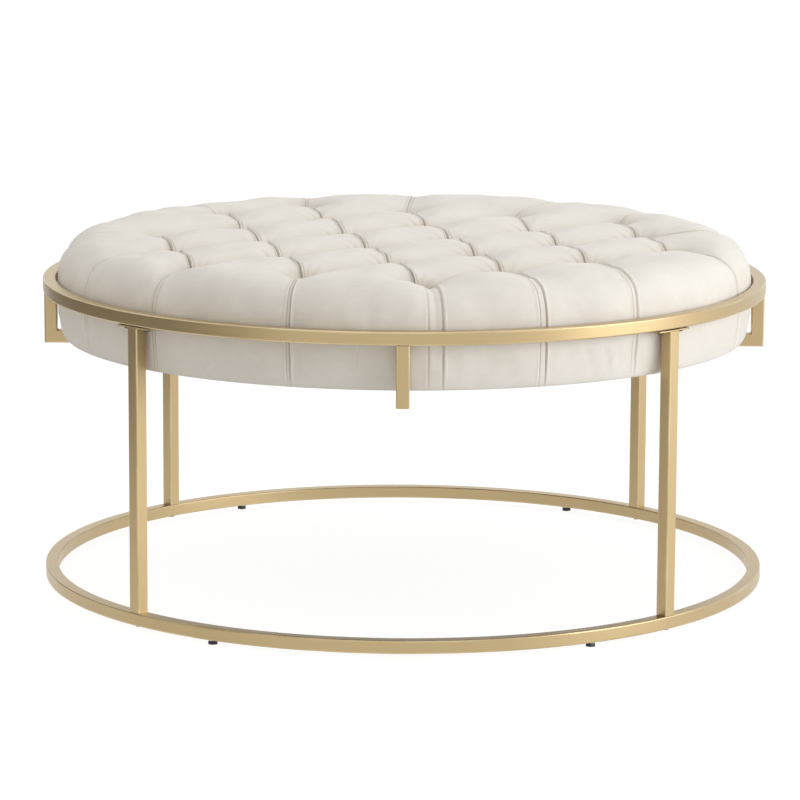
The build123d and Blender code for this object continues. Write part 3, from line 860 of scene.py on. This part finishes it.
def runs(grid):
    """The distance of every point of a grid from its left, right, top and bottom edge, along the cloth."""
    across = np.linalg.norm(np.diff(grid, axis=1), axis=-1)
    down = np.linalg.norm(np.diff(grid, axis=0), axis=-1)
    left = np.concatenate([np.zeros((len(grid), 1)), np.cumsum(across, axis=1)], axis=1)
    top = np.concatenate([np.zeros((1, grid.shape[1])), np.cumsum(down, axis=0)])
    return left, left[:, -1:] - left, top, top[-1:] - top


def bezier(controls, share):
    """A cubic Bézier through control points: weights (1-t)³, 3(1-t)²t, 3(1-t)t², t³."""
    t = share[:, None]
    weights = ((1 - t) ** 3, 3 * (1 - t) ** 2 * t, 3 * (1 - t) * t ** 2, t ** 3)
    return sum(w * np.array(c)[None] for w, c in zip(weights, controls))


def ring_points(angle, radius, height):
    """Points at angles from the front, a radius and a height."""
    angle, radius, height = np.broadcast_arrays(angle, radius, height)
    return np.stack([radius * np.sin(angle), -radius * np.cos(angle), height], axis=-1)


def seat_profile():
    """Radius, height and length so far of the smooth seat from its middle over the shoulder to the belt."""
    curve = bezier([(shoulder_start, crown), (shoulder_start + shoulder_pull, crown), (seat_radius, crown),
                    (seat_radius, belt_height)], np.linspace(0, 1, shoulder_steps))
    curve = np.concatenate([[(0.0, crown)], curve])
    return curve, length_along(curve)


profile, profile_run = seat_profile()


def border_base(line, angle):
    """The smooth grid outside a crease: every column follows the seat's profile from where it starts to the
    belt, while its bearing turns early to the angle it ends at, and then goes down the side and under."""
    reach, bearing = np.linalg.norm(line, axis=1), np.arctan2(line[:, 0], -line[:, 1])
    bearing = angle + (bearing - angle + pi) % tau - pi
    share = border_shares[:, None]
    run = reach + (profile_run[-1] - reach) * share
    turn = bearing + (angle - bearing) * (1 - (1 - share) ** early_turn)
    radius, height = (np.interp(run, profile_run, profile[:, k]) for k in (0, 1))
    top = ring_points(turn, radius, height)
    foot_radius = seat_radius - draw_in - edge_run
    side = bezier([(seat_radius, belt_height), (seat_radius, (belt_height + seat_low.z) / 2),
                   (seat_radius - draw_in, seat_low.z), (foot_radius, seat_low.z)],
                  np.linspace(0, 1, side_steps))[1:]
    hem = np.linspace(foot_radius, hem_radius, hem_steps)[1:]
    side = np.concatenate([side, np.stack([hem, np.full_like(hem, seat_low.z)], axis=-1)])
    return np.concatenate([top, ring_points(angle, side[:, :1], side[:, 1:])])


def to_segment(points, a, b):
    """The distance of points from a straight run from a to b, and the share of it where they are nearest."""
    run = b - a
    share = np.clip((points - a) @ run / (run @ run), 0, 1)
    return np.linalg.norm(points - a - share[..., None] * run, axis=-1), share


def along_pleat(points, tuft, azimuth):
    """The distance of points from a pleat's line, and how far down the pleat they are nearest to it."""
    line = border_base(np.array([tuft_place(*tuft)]), radians(azimuth))[:, 0]
    nearest, reached, so_far = np.full(points.shape[:2], np.inf), np.zeros(points.shape[:2]), 0.0
    for a, b in zip(line, line[1:]):
        distance, share = to_segment(points, a, b)
        length = np.linalg.norm(b - a)
        reached = np.where(distance < nearest, so_far + share * length, reached)
        nearest = np.minimum(nearest, distance)
        so_far += length
    return nearest, reached


def nearness(distance):
    """1 on a crease, falling to 0 at half a diamond's side away and beyond."""
    return hollow(np.minimum(distance / diamond_side, 0.5))


def from_creases(place, creases):
    """The deepest that any border crease makes a place: its own depth, less with the distance from it."""
    found = np.zeros(place.shape[:2])
    for start, end in creases:
        distance, share = to_segment(place, tuft_place(*start), tuft_place(*end))
        own = crease_depths["across" if start[1] == end[1] else "along"]
        found = np.maximum(found, nearness(distance) * valley_line(share, own))
    return found


def border_depth(grid, creases, pleats):
    """Depth over a border: that of its creases, passing over to each pleat's own line near the pleat, and
    the tufts' pits. It fades from the belt to the foot."""
    settled = np.clip((grid[..., 2] - belt_height) / (crown - belt_height), 0, 1)
    lasting = side_pleat_depth + (pleat_depth - side_pleat_depth) * settled
    depth = from_creases(grid[..., :2], creases)
    for tuft, azimuth, sag in pleats:
        distance, run = along_pleat(grid, tuft, azimuth)
        line = lasting + sag * bell(run, sag_reach) + (common_depth - lasting - sag) * bell(run, pit_width)
        depth += nearness(distance) * (line - depth)
    depth += pits(grid[..., :2])
    return depth * np.clip((grid[..., 2] - seat_low.z) / (belt_height - seat_low.z), 0, 1)


def border_spans():
    """Each stretch between two pleats: its tufts, the azimuths and spreads of its columns and both sags."""
    for k, (i, j, first, spread, sag) in enumerate(border_pleats):
        next_i, next_j, last, next_spread, next_sag = border_pleats[(k + 1) % len(border_pleats)]
        last += 360 * (last < first)
        stops = [((i, j), first, spread), ((next_i, next_j), last, next_spread)]
        if (i, j) in inner_corners:
            stops.insert(1, (inner_corners[(i, j)], (first + last) / 2, 0))
        yield stops, (sag, next_sag)


def border_patches():
    """Every border patch with the spread of the pleats at its left and right, 0 for none, and the side of
    the fold on its crease, once round the seat."""
    creases = [(a[0], b[0]) for stops, _ in border_spans() for a, b in zip(stops, stops[1:])]
    found = []
    for stops, sags in border_spans():
        pleats = [(stops[0][0], stops[0][1], sags[0]), (stops[-1][0], stops[-1][1], sags[1])]
        for (start, a, spread_a), (end, b, spread_b) in zip(stops, stops[1:]):
            line = tuft_place(*start) + shares[:, None] * (tuft_place(*end) - tuft_place(*start))
            grid = border_base(line, np.radians(a + (b - a) * shares))
            fold_side = (end[1] - start[1]) - (end[0] - start[0])
            found.append((grid, border_depth(grid, creases, pleats), spread_a, spread_b, fold_side))
    return found


borders = border_patches()
print(len(borders), "border patches of", borders[0][0].shape[:2])

# %% [markdown]
# ### Pleats and pulled cloth
# A pleat is spare cloth folded flat. Between two tufts it shows as a groove with a narrow lip beside it,
# which is the fold's edge, and down the side as two grooves a little apart. Its section is a sum of bell
# curves of the distance from the crease, signed so that the patches on its two sides carry on from each
# other. From each tuft the cloth is also pulled into short radiating wrinkles. All of it moves points along
# one smooth direction that depends only on their place, so that neighbouring patches stay joined.

# %% Relief of the cloth
fold_bells = ((0.0022, 0.0, 0.0016), (-0.0026, -0.0026, 0.0010), (-0.0012, 0.0025, 0.0008),
              (0.0006, -0.0052, 0.0014), (-0.0006, -0.0072, 0.0011))
# These bells are painted shade, not relief: darker lines along the grooves beside each pleat.
painted_crease_lines = ((1.0, -0.0025, 0.0010), (0.55, 0.0025, 0.0008), (0.15, -0.0072, 0.0011))
# Painted shade in the valleys: it starts at a given depth and reaches its full share at a tuft's depth.
valley_shade, valley_start = 0.62, 0.007
tuft_fade = 0.010
core_radius = seat_radius - 0.055
wrinkle_height, wrinkle_reach, wrinkle_start = 0.0011, 0.030, 0.009
wrinkle_bend, wrinkle_bend_run, wrinkle_sharpness = 0.25, 0.012, 4
ripple_count, ripple_share, ripple_lengths = 28, 0.0042, (0.12, 0.018)
side_wrinkle_places = np.array([28.5, 32.0, 35.0, -6.5, -33.0])
side_wrinkle_depths = np.array([0.0019, 0.0023, 0.0015, 0.0012, 0.0012])
side_wrinkle_lean = np.array([0.055, 0.045, 0.030, -0.03, 0.04])
side_wrinkle_width, side_wrinkle_fade = 0.0020, 0.7


def bells(distance, heights):
    """A sum of bell curves, each with its height, its place and its width."""
    return sum(h * bell(distance - place, width) for h, place, width in heights)


def border_bells(spread):
    """The bells of a border pleat: a groove half the spread away on each side, one with a low lip."""
    half = spread / 2
    # The second set of bells is painted shade: darker lines in the two grooves.
    return (((-0.0017, half, 0.0009), (0.0011, half + 0.0021, 0.0013), (-0.0012, -half, 0.0009),
             (0.0006, -half - 0.0022, 0.0014)),
            ((0.7, half, 0.0009), (0.45, -half, 0.0009)))


def rises(distance, reach=tuft_fade):
    """0 at a tuft and 1 away from it."""
    return 1 - bell(distance, reach)


def lift_direction(points):
    """Unit vectors away from a flat disc inside the seat: up on top, outwards on the side."""
    radius = np.linalg.norm(points[..., :2], axis=-1)
    share = np.minimum(radius, core_radius) / np.maximum(radius, 1e-6)
    nearest = np.stack([points[..., 0] * share, points[..., 1] * share,
                        np.minimum(points[..., 2], belt_height)], axis=-1)
    away = points - nearest
    return away / np.maximum(np.linalg.norm(away, axis=-1, keepdims=True), 1e-6)


waves = random.normal(size=(ripple_count, 3))
waves /= np.linalg.norm(waves, axis=1, keepdims=True)
wave_lengths = np.geomspace(*ripple_lengths, ripple_count)
wave_phases = random.uniform(0, tau, ripple_count)


def ripple(points):
    """Uneven stuffing: a sum of waves in random directions, each as high as a share of its length."""
    angle = points @ (waves / wave_lengths[:, None] * tau).T + wave_phases
    return (np.sin(angle) * wave_lengths * ripple_share).sum(axis=-1)


def side_wrinkles(points):
    """Slanting grooves below the hoop: each is a bell curve of the distance from a line that leans with
    height, and fades out at the belt and at the foot."""
    bearing = np.arctan2(points[..., 0], -points[..., 1])
    drop = np.clip((belt_height - points[..., 2]) / (belt_height - seat_low.z), 0, 1)
    lines = bearing[..., None] - np.radians(side_wrinkle_places) - side_wrinkle_lean * drop[..., None]
    grooves = bell(lines * seat_radius, side_wrinkle_width) * side_wrinkle_depths
    return -grooves.sum(axis=-1) * np.sin(pi * drop) ** side_wrinkle_fade


def tuft_wrinkles(x, y, strength):
    """Sharp wrinkles that radiate from a corner: a power of the cosine of the bearing, none on the edges."""
    distance = np.hypot(x, y)
    bearing = np.arctan2(y, np.maximum(x, 1e-9)) / (pi / 2)
    count, phase = random.integers(3, 5), random.uniform(0, tau)
    bend = wrinkle_bend * np.sin(distance / wrinkle_bend_run + phase)
    wave = ((1 + np.cos(tau * count * bearing + phase + bend)) / 2) ** wrinkle_sharpness
    window = bell(distance, wrinkle_reach) * rises(distance, wrinkle_start) * np.sin(pi * bearing)
    return -strength * wrinkle_height * wave * window


print("pleat lip", fold_bells[0][0] * 1000, "mm high,", ripple_count, "waves of unevenness")

# %% [markdown]
# ### Putting the cover together
# The relief is added to each patch, the side is kept from pushing into the hoop, and all patches are
# welded into one open cloth. A Solidify modifier then gives the velvet its thickness, inwards. The same
# pass stores each point's share of painted warm shade, which is strongest deep in creases and pits.

# %% Seat cover
cover_thickness = board_low.z - seat_low.z
# Shares and reach of the painted crease shade: near a tuft, at the hem, in wrinkle dents, and in a spot at
# each tuft.
crease_at_tuft, crease_at_hem, wrinkle_shade = 0.35, 0.3, 0.6
pit_shade, pit_shade_reach = 0.8, 0.008
diamond_wrinkles = [("left", "top", 0.4), ("right", "top", 0.6), ("left", "bottom", 0.5),
                    ("right", "bottom", 2.0)]
border_wrinkles = {"left": 0.7, "right": 0.9}
fade_steps = side_steps - 6


def relieved(grid, depth, folds, wrinkles, fade_rows=None):
    """A patch with its depth, folds, wrinkles and unevenness, and its painted shade, darkest deep in creases.
    Folds are (edge, sign, height bells, painted shade bells), and wrinkles (edge, edge, strength)."""
    edges = dict(zip(("left", "right", "top", "bottom"), runs(grid)))
    away = {edge: rises(distance) for edge, distance in edges.items()}
    down = away["top"] * (away["bottom"] if fade_rows is None else 1)
    across = away["left"] * away["right"]
    clear = {"left": down, "right": down, "top": across, "bottom": across}
    height = ripple(grid) + side_wrinkles(grid)
    # Painted shade, a warm brown in the velvet's colour: more the deeper a point lies in a valley, and along
    # lines beside each pleat.
    crease = valley_shade * np.clip((depth - valley_start) / (tuft_depth - valley_start), 0, 1)
    for edge, sign, heights, creases in folds:
        height += bells(sign * edges[edge], heights) * clear[edge]
        crease += bells(sign * edges[edge], creases) * (crease_at_tuft + (1 - crease_at_tuft) * clear[edge])
    for x, y, strength in wrinkles:
        dent = tuft_wrinkles(edges[x], edges[y], strength)
        height += dent
        # More painted shade in the wrinkles' dents and in a round spot at each tuft.
        crease += np.clip(-dent / wrinkle_height, 0, 1) * wrinkle_shade
        crease += pit_shade * bell(np.hypot(edges[x], edges[y]), pit_shade_reach)
    if fade_rows is not None:
        height *= fade_rows[:, None]
        crease *= (crease_at_hem + (1 - crease_at_hem) * fade_rows)[:, None]
    marks = np.stack([edges["left"], edges["top"], np.clip(crease, 0, 1)], axis=-1)
    return kept_inside(grid + (height - depth)[..., None] * lift_direction(grid)), marks


def kept_inside(points):
    """Points drawn in to the seat's radius, where the hoop stops the cloth."""
    radius = np.linalg.norm(points[..., :2], axis=-1)
    share = np.minimum(1, seat_radius / np.maximum(radius, 1e-6))
    return points * np.stack([share, share, np.ones_like(share)], axis=-1)


def cover_grids():
    """All patches of the cover, with the painted crease shade of every point."""
    inner = (fold_bells, painted_crease_lines)
    folds = [("left", 1, *inner), ("right", -1, *inner), ("top", 1, *inner), ("bottom", -1, *inner)]
    grids = [relieved(*diamonds[corner], folds, diamond_wrinkles) for corner in diamond_corners]
    rows = len(borders[0][0])
    fade = np.clip((rows - hem_steps - np.arange(rows)) / fade_steps, 0, 1)
    for grid, depth, spread_first, spread_last, fold_side in borders:
        folds, wrinkles = [("top", fold_side, *inner)], []
        for edge, sign, spread in (("left", 1, spread_first), ("right", -1, spread_last)):
            folds += [(edge, sign, *border_bells(spread))] if spread else []
            wrinkles.append((edge, "top", border_wrinkles[edge] * bool(spread)))
        grids.append(relieved(grid, depth, folds, wrinkles, fade))
    return grids


cover = build("seat_cover_velvet", cover_grids(), velvet, "seat_cover", closed=False)
print("cover:", len(cover.data.polygons), "faces", [round(x, 4) for x in cover.dimensions])

# %% Cover thickness
inwards = -1


def face_out(piece):
    """Turn an open cloth's faces so that they agree and the top ones look up."""
    work = bmesh.new()
    work.from_mesh(piece.data)
    bmesh.ops.recalc_face_normals(work, faces=work.faces)
    highest = max(work.faces, key=lambda face: face.calc_center_median().z)
    if highest.normal.z < 0:
        bmesh.ops.reverse_faces(work, faces=work.faces)
    work.to_mesh(piece.data)
    work.free()


face_out(cover)
thick = cover.modifiers.new("cloth_thickness", "SOLIDIFY")
thick.thickness, thick.offset = cover_thickness, inwards
print("velvet", round(cover_thickness * 1000, 2), "mm thick")

# %% [markdown]
# ## Under the cover
# The foam core is turned with a generous round at its top edge and is pressed in under each tuft. The
# wadding lies between it and the velvet: its outer skin repeats the cover's patches a little lower, and
# its inner skin is the foam's.

# %% Foam and wadding
foam_low, foam_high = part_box("foam_core")
foam_radius = (foam_high.x - foam_low.x) / 2
foam_round, foam_rings, foam_columns = 0.03, 60, 180
dent_depth, dent_width = 0.018, 0.016


def foam_top(x, y, radius, top):
    """Height of the foam: round at the edge, with a bell-shaped dent under every tuft."""
    reach = np.hypot(x, y)
    past = np.clip((reach - radius + foam_round) / foam_round, 0, 1)
    height = top - foam_round * (1 - np.sqrt(1 - past ** 2))
    for i, j in tufts:
        tx, ty = tuft_place(i, j)
        dent = np.exp(-((x - tx) ** 2 + (y - ty) ** 2) / dent_width ** 2)
        height = height - dent_depth * dent * (1 - past)
    return height


def foam_rows(angle, radius, top):
    """Rings of the foam's surface from the middle of its top out over the edge."""
    out = np.sin(np.linspace(0, pi / 2, foam_rings))[:, None]
    x, y = out * radius * np.sin(angle), -out * radius * np.cos(angle)
    return np.stack([x, y, foam_top(x, y, radius, top)], axis=-1)


def foam_grid():
    """The foam core: its top, its straight side and its flat underside, each a row of rings."""
    angle = np.linspace(0, tau, foam_columns + 1)
    top = foam_rows(angle, foam_radius, foam_high.z)
    foot = ring_points(angle, foam_radius, board_high.z)[None]
    middle = ring_points(angle, 0.0, board_high.z)[None]
    return np.concatenate([top, foot, middle])


foam = build("foam_core_block", [(foam_grid(), None)], foam_finish, "foam_core")
print("foam:", len(foam.data.polygons), "faces")

# %% Wadding
wadding_gap = 0.0005
wadding_inset = cover_thickness + 0.0045
wadding_step, inner_step = 3, 6
wadding_columns = np.concatenate([np.arange(0, patch_steps - 1, wadding_step), [patch_steps - 1]])
wadding_rows = len(border_shares) + side_steps - 1


def lowered(grid, depth):
    """A patch moved in below the velvet and the grooves of its pleats, with the same unevenness."""
    return grid + (ripple(grid) - depth - wadding_inset)[..., None] * lift_direction(grid)


def wadding_grids():
    """The diamonds, and the border patches carried on round under the edge and back over the foam."""
    thinned = np.ix_(wadding_columns, wadding_columns)
    grids = [lowered(*diamonds[corner])[thinned] for corner in diamond_corners]
    for grid, depth, *_ in borders:
        outer = lowered(grid[:wadding_rows], depth[:wadding_rows])[:, wadding_columns]
        outer[..., 2] = np.maximum(outer[..., 2], seat_low.z + cover_thickness + wadding_gap)
        angle = np.arctan2(outer[-1, :, 0], -outer[-1, :, 1])
        radius = foam_radius + wadding_gap
        foot = ring_points(angle, radius, outer[-1, :, 2])[None]
        inside = foam_rows(angle, radius, foam_high.z + wadding_gap)[::-inner_step]
        grids.append(np.concatenate([outer[::wadding_step], outer[-1:], foot, inside]))
    return [(grid, None) for grid in grids]


wadding = build("wadding_layer", wadding_grids(), wadding_finish, "wadding", closed=False)
face_out(wadding)
print("wadding:", len(wadding.data.polygons), "faces")

# %% [markdown]
# ## Dust cover and staples
# The underside is closed by a thin black cloth, pulled flat and stapled every few centimetres through the
# turned-under velvet. A staple is one bent wire, so a small round outline is carried along three
# straight runs: down out of the board, across, and back up into it.

# %% Dust cover
dust_radius = (cover_high.x - cover_low.x) / 2
staple_count = 72
pucker_height, pucker_power, points_a_pucker, dust_rings = 0.0001, 12, 4, 24


def dust_cover_grid():
    """A disc of rings, whose edge puckers a little between staples, closed over its own thickness."""
    angle = np.linspace(0, tau, staple_count * points_a_pucker + 1)
    reach = np.linspace(0, 1, dust_rings)[:, None]
    pucker = pucker_height * (1 - np.cos(angle * staple_count)) * reach ** pucker_power
    under = ring_points(angle, dust_radius * reach, cover_low.z + pucker)
    over = ring_points(angle, dust_radius * reach, cover_high.z)
    return np.concatenate([under, over[::-1]])


dust_cover = build("dust_cover_cloth", [(dust_cover_grid(), None)], cambric, "dust_cover")
print("dust cover", round(2 * dust_radius, 3), "m across")

# %% Staples
staple_wire, staple_sides = 0.0004, 6
staple_width, staple_leg = 0.010, 0.006
staple_inset, staple_scatter = 0.008, 0.4


def staple_grid():
    """A round wire carried along its route at the front of the table, mitred at the two bends."""
    angle = np.linspace(0, tau, staple_sides + 1)[None, :, None]
    low, half = cover_low.z - staple_wire, staple_width / 2
    high = low + staple_leg
    route = np.array([[-half, 0, high], [-half, 0, low], [half, 0, low], [half, 0, high]])
    across = np.array([[-1.0, 0, 0], [-1.0, 0, -1.0], [1.0, 0, -1.0], [1.0, 0, 0]])[:, None]
    points = route[:, None] + staple_wire * (np.cos(angle) * across + np.sin(angle) * [0.0, 1.0, 0.0])
    return capped(points, route[0], route[-1]) + [0, -(dust_radius - staple_inset), 0]


staple_turns = np.arange(staple_count) * 360 / staple_count + random.normal(0, staple_scatter, staple_count)
staple_grids = [(at_azimuth(staple_grid(), turn), None) for turn in staple_turns]
build("dust_cover_staples", staple_grids, zinc)
print(staple_count, "staples")

# %% [markdown]
# ## Pieces that keep their own mesh
# The board, the twine, the plugs and the tee nuts already have the right shape in the frame, and lie inside
# the table. They keep their meshes and only get their finishes.

# %% Finishes on the frame's own pieces
kept_finishes = {"base_board": (plywood, "plywood"), "tuft_ties": (twine, "twine"),
                 "tee_nuts": (zinc, "zinc")}
kept_finishes.update({f"leg_plug_{corner}": (plain_steel, "plug_metal") for corner in leg_azimuths})
for name, (material, slot) in kept_finishes.items():
    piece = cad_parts[name]
    piece.data.materials.clear()
    piece.data.materials.append(material)
print("finished:", ", ".join(kept_finishes))

# %% [markdown]
# ## Floor, backdrop and light
# The photograph stands on pure white. The floor and the world are white to the camera and to anything
# that mirrors them, and the floor still takes a little real light, so the object's shadow stays. The key
# lamp stands on the right, a little in front and not far above the seat. A weaker and cooler one hangs
# overhead, and the world fills in from everywhere with a warmer tone. A board on the left gives the left of
# the frame something darker to mirror, without taking any fill away.

# %% Floor and world
floor_half = 30.0
floor_glow, floor_albedo, bounce_albedo = 0.91, 0.2, 0.8
fill_strength, fill_colour, white = 0.62, (1.0, 0.935, 0.85, 1), (1, 1, 1, 1)


def seen_directly(tree):
    """1 for rays from the camera, from a mirror or through glass, and 0 for diffuse light."""
    path = node(tree, "LightPath").outputs
    first = reckoned(tree, "MAXIMUM", path["Is Camera Ray"], path["Is Glossy Ray"])
    return reckoned(tree, "MAXIMUM", first, path["Is Transmission Ray"])


def either(tree, factor, first, second):
    """Two shaders mixed by a factor."""
    return node(tree, "MixShader", {0: factor, 1: first, 2: second}).outputs[0]


def shining(tree, kind, colour, strength):
    """A shader that only shines: Background in the world, Emission on a surface."""
    return node(tree, kind, {"Color": colour, "Strength": strength}).outputs[0]


def emptied_tree(owner):
    """The node tree of a material or a world, with nothing in it."""
    owner.use_nodes = True
    owner.node_tree.nodes.clear()
    return owner.node_tree


def stage_board(name, half_width, half_depth, place, material):
    """A flat rectangle in the scene, which rides no body of the table."""
    mesh = bpy.data.meshes.new(name)
    w, d = half_width, half_depth
    mesh.from_pydata([(-w, -d, 0), (w, -d, 0), (w, d, 0), (-w, d, 0)], [], [(0, 1, 2, 3)])
    mesh.transform(place)
    mesh.materials.append(material)
    made = put(name, mesh)
    return made


def floor_material():
    """White that glows to the camera, takes a shadow, and can be seen through from below."""
    material = bpy.data.materials.new("white_floor")
    tree = emptied_tree(material)
    soft, faint = (node(tree, "BsdfDiffuse", {"Color": (albedo, albedo, albedo, 1)}).outputs[0]
                   for albedo in (bounce_albedo, floor_albedo))
    shown = node(tree, "AddShader", {0: faint, 1: shining(tree, "Emission", white, floor_glow)}).outputs[0]
    upper = either(tree, seen_directly(tree), soft, shown)
    back, clear = node(tree, "NewGeometry").outputs["Backfacing"], node(tree, "BsdfTransparent").outputs[0]
    node(tree, "OutputMaterial", {"Surface": either(tree, back, upper, clear)})
    return material


def light_world():
    """White where it is seen or mirrored, and a plain warm fill for everything else."""
    world = bpy.data.worlds.new("studio")
    bpy.context.scene.world = world
    tree = emptied_tree(world)
    fill = shining(tree, "Background", fill_colour, fill_strength)
    shown = shining(tree, "Background", white, 1.0)
    node(tree, "OutputWorld", {"Surface": either(tree, seen_directly(tree), fill, shown)})


stage_board("floor", floor_half, floor_half, Matrix.Identity(4), floor_material())
light_world()
print("floor and world are in place")

# %% Lamps and flag
lamps = (("key", (4.0, -1.6, 1.2), 2.4, 88.0, (1.0, 1.0, 1.0)),
         ("overhead", (0.2, 0.3, 2.6), 2.6, 15.0, (0.90, 0.95, 1.0)))
looked_at = Vector((0, 0, 0.3))
flag_place, flag_half_width, flag_half_height = Vector((-1.3, 0.0, 0.42)), 1.5, 0.42
flag_colour, flag_mirrored, flag_fill = (1.0, 0.95, 0.88, 1), 0.24, 0.62


def aimed(place):
    """A matrix at a place whose -Z looks at the middle of the table."""
    return Matrix.Translation(place) @ (looked_at - place).to_track_quat("-Z", "Y").to_matrix().to_4x4()


def add_lamp(name, place, size, power, colour):
    """One broad square lamp that looks at the middle of the table."""
    data = bpy.data.lights.new(name, "AREA")
    data.size, data.energy, data.color = size, power, colour
    put(name, data).matrix_world = aimed(Vector(place))


def flag_material():
    """Dark grey where it is mirrored, and as pale as the world where it fills."""
    material = bpy.data.materials.new("grey_flag")
    tree = emptied_tree(material)
    pale, dark = (shining(tree, "Emission", flag_colour, strength) for strength in (flag_fill, flag_mirrored))
    node(tree, "OutputMaterial", {"Surface": either(tree, seen_directly(tree), pale, dark)})
    return material


for lamp in lamps:
    add_lamp(*lamp)
flag = stage_board("flag", flag_half_width, flag_half_height, aimed(flag_place), flag_material())
flag.visible_camera = False
print(len(lamps), "lamps and one flag")
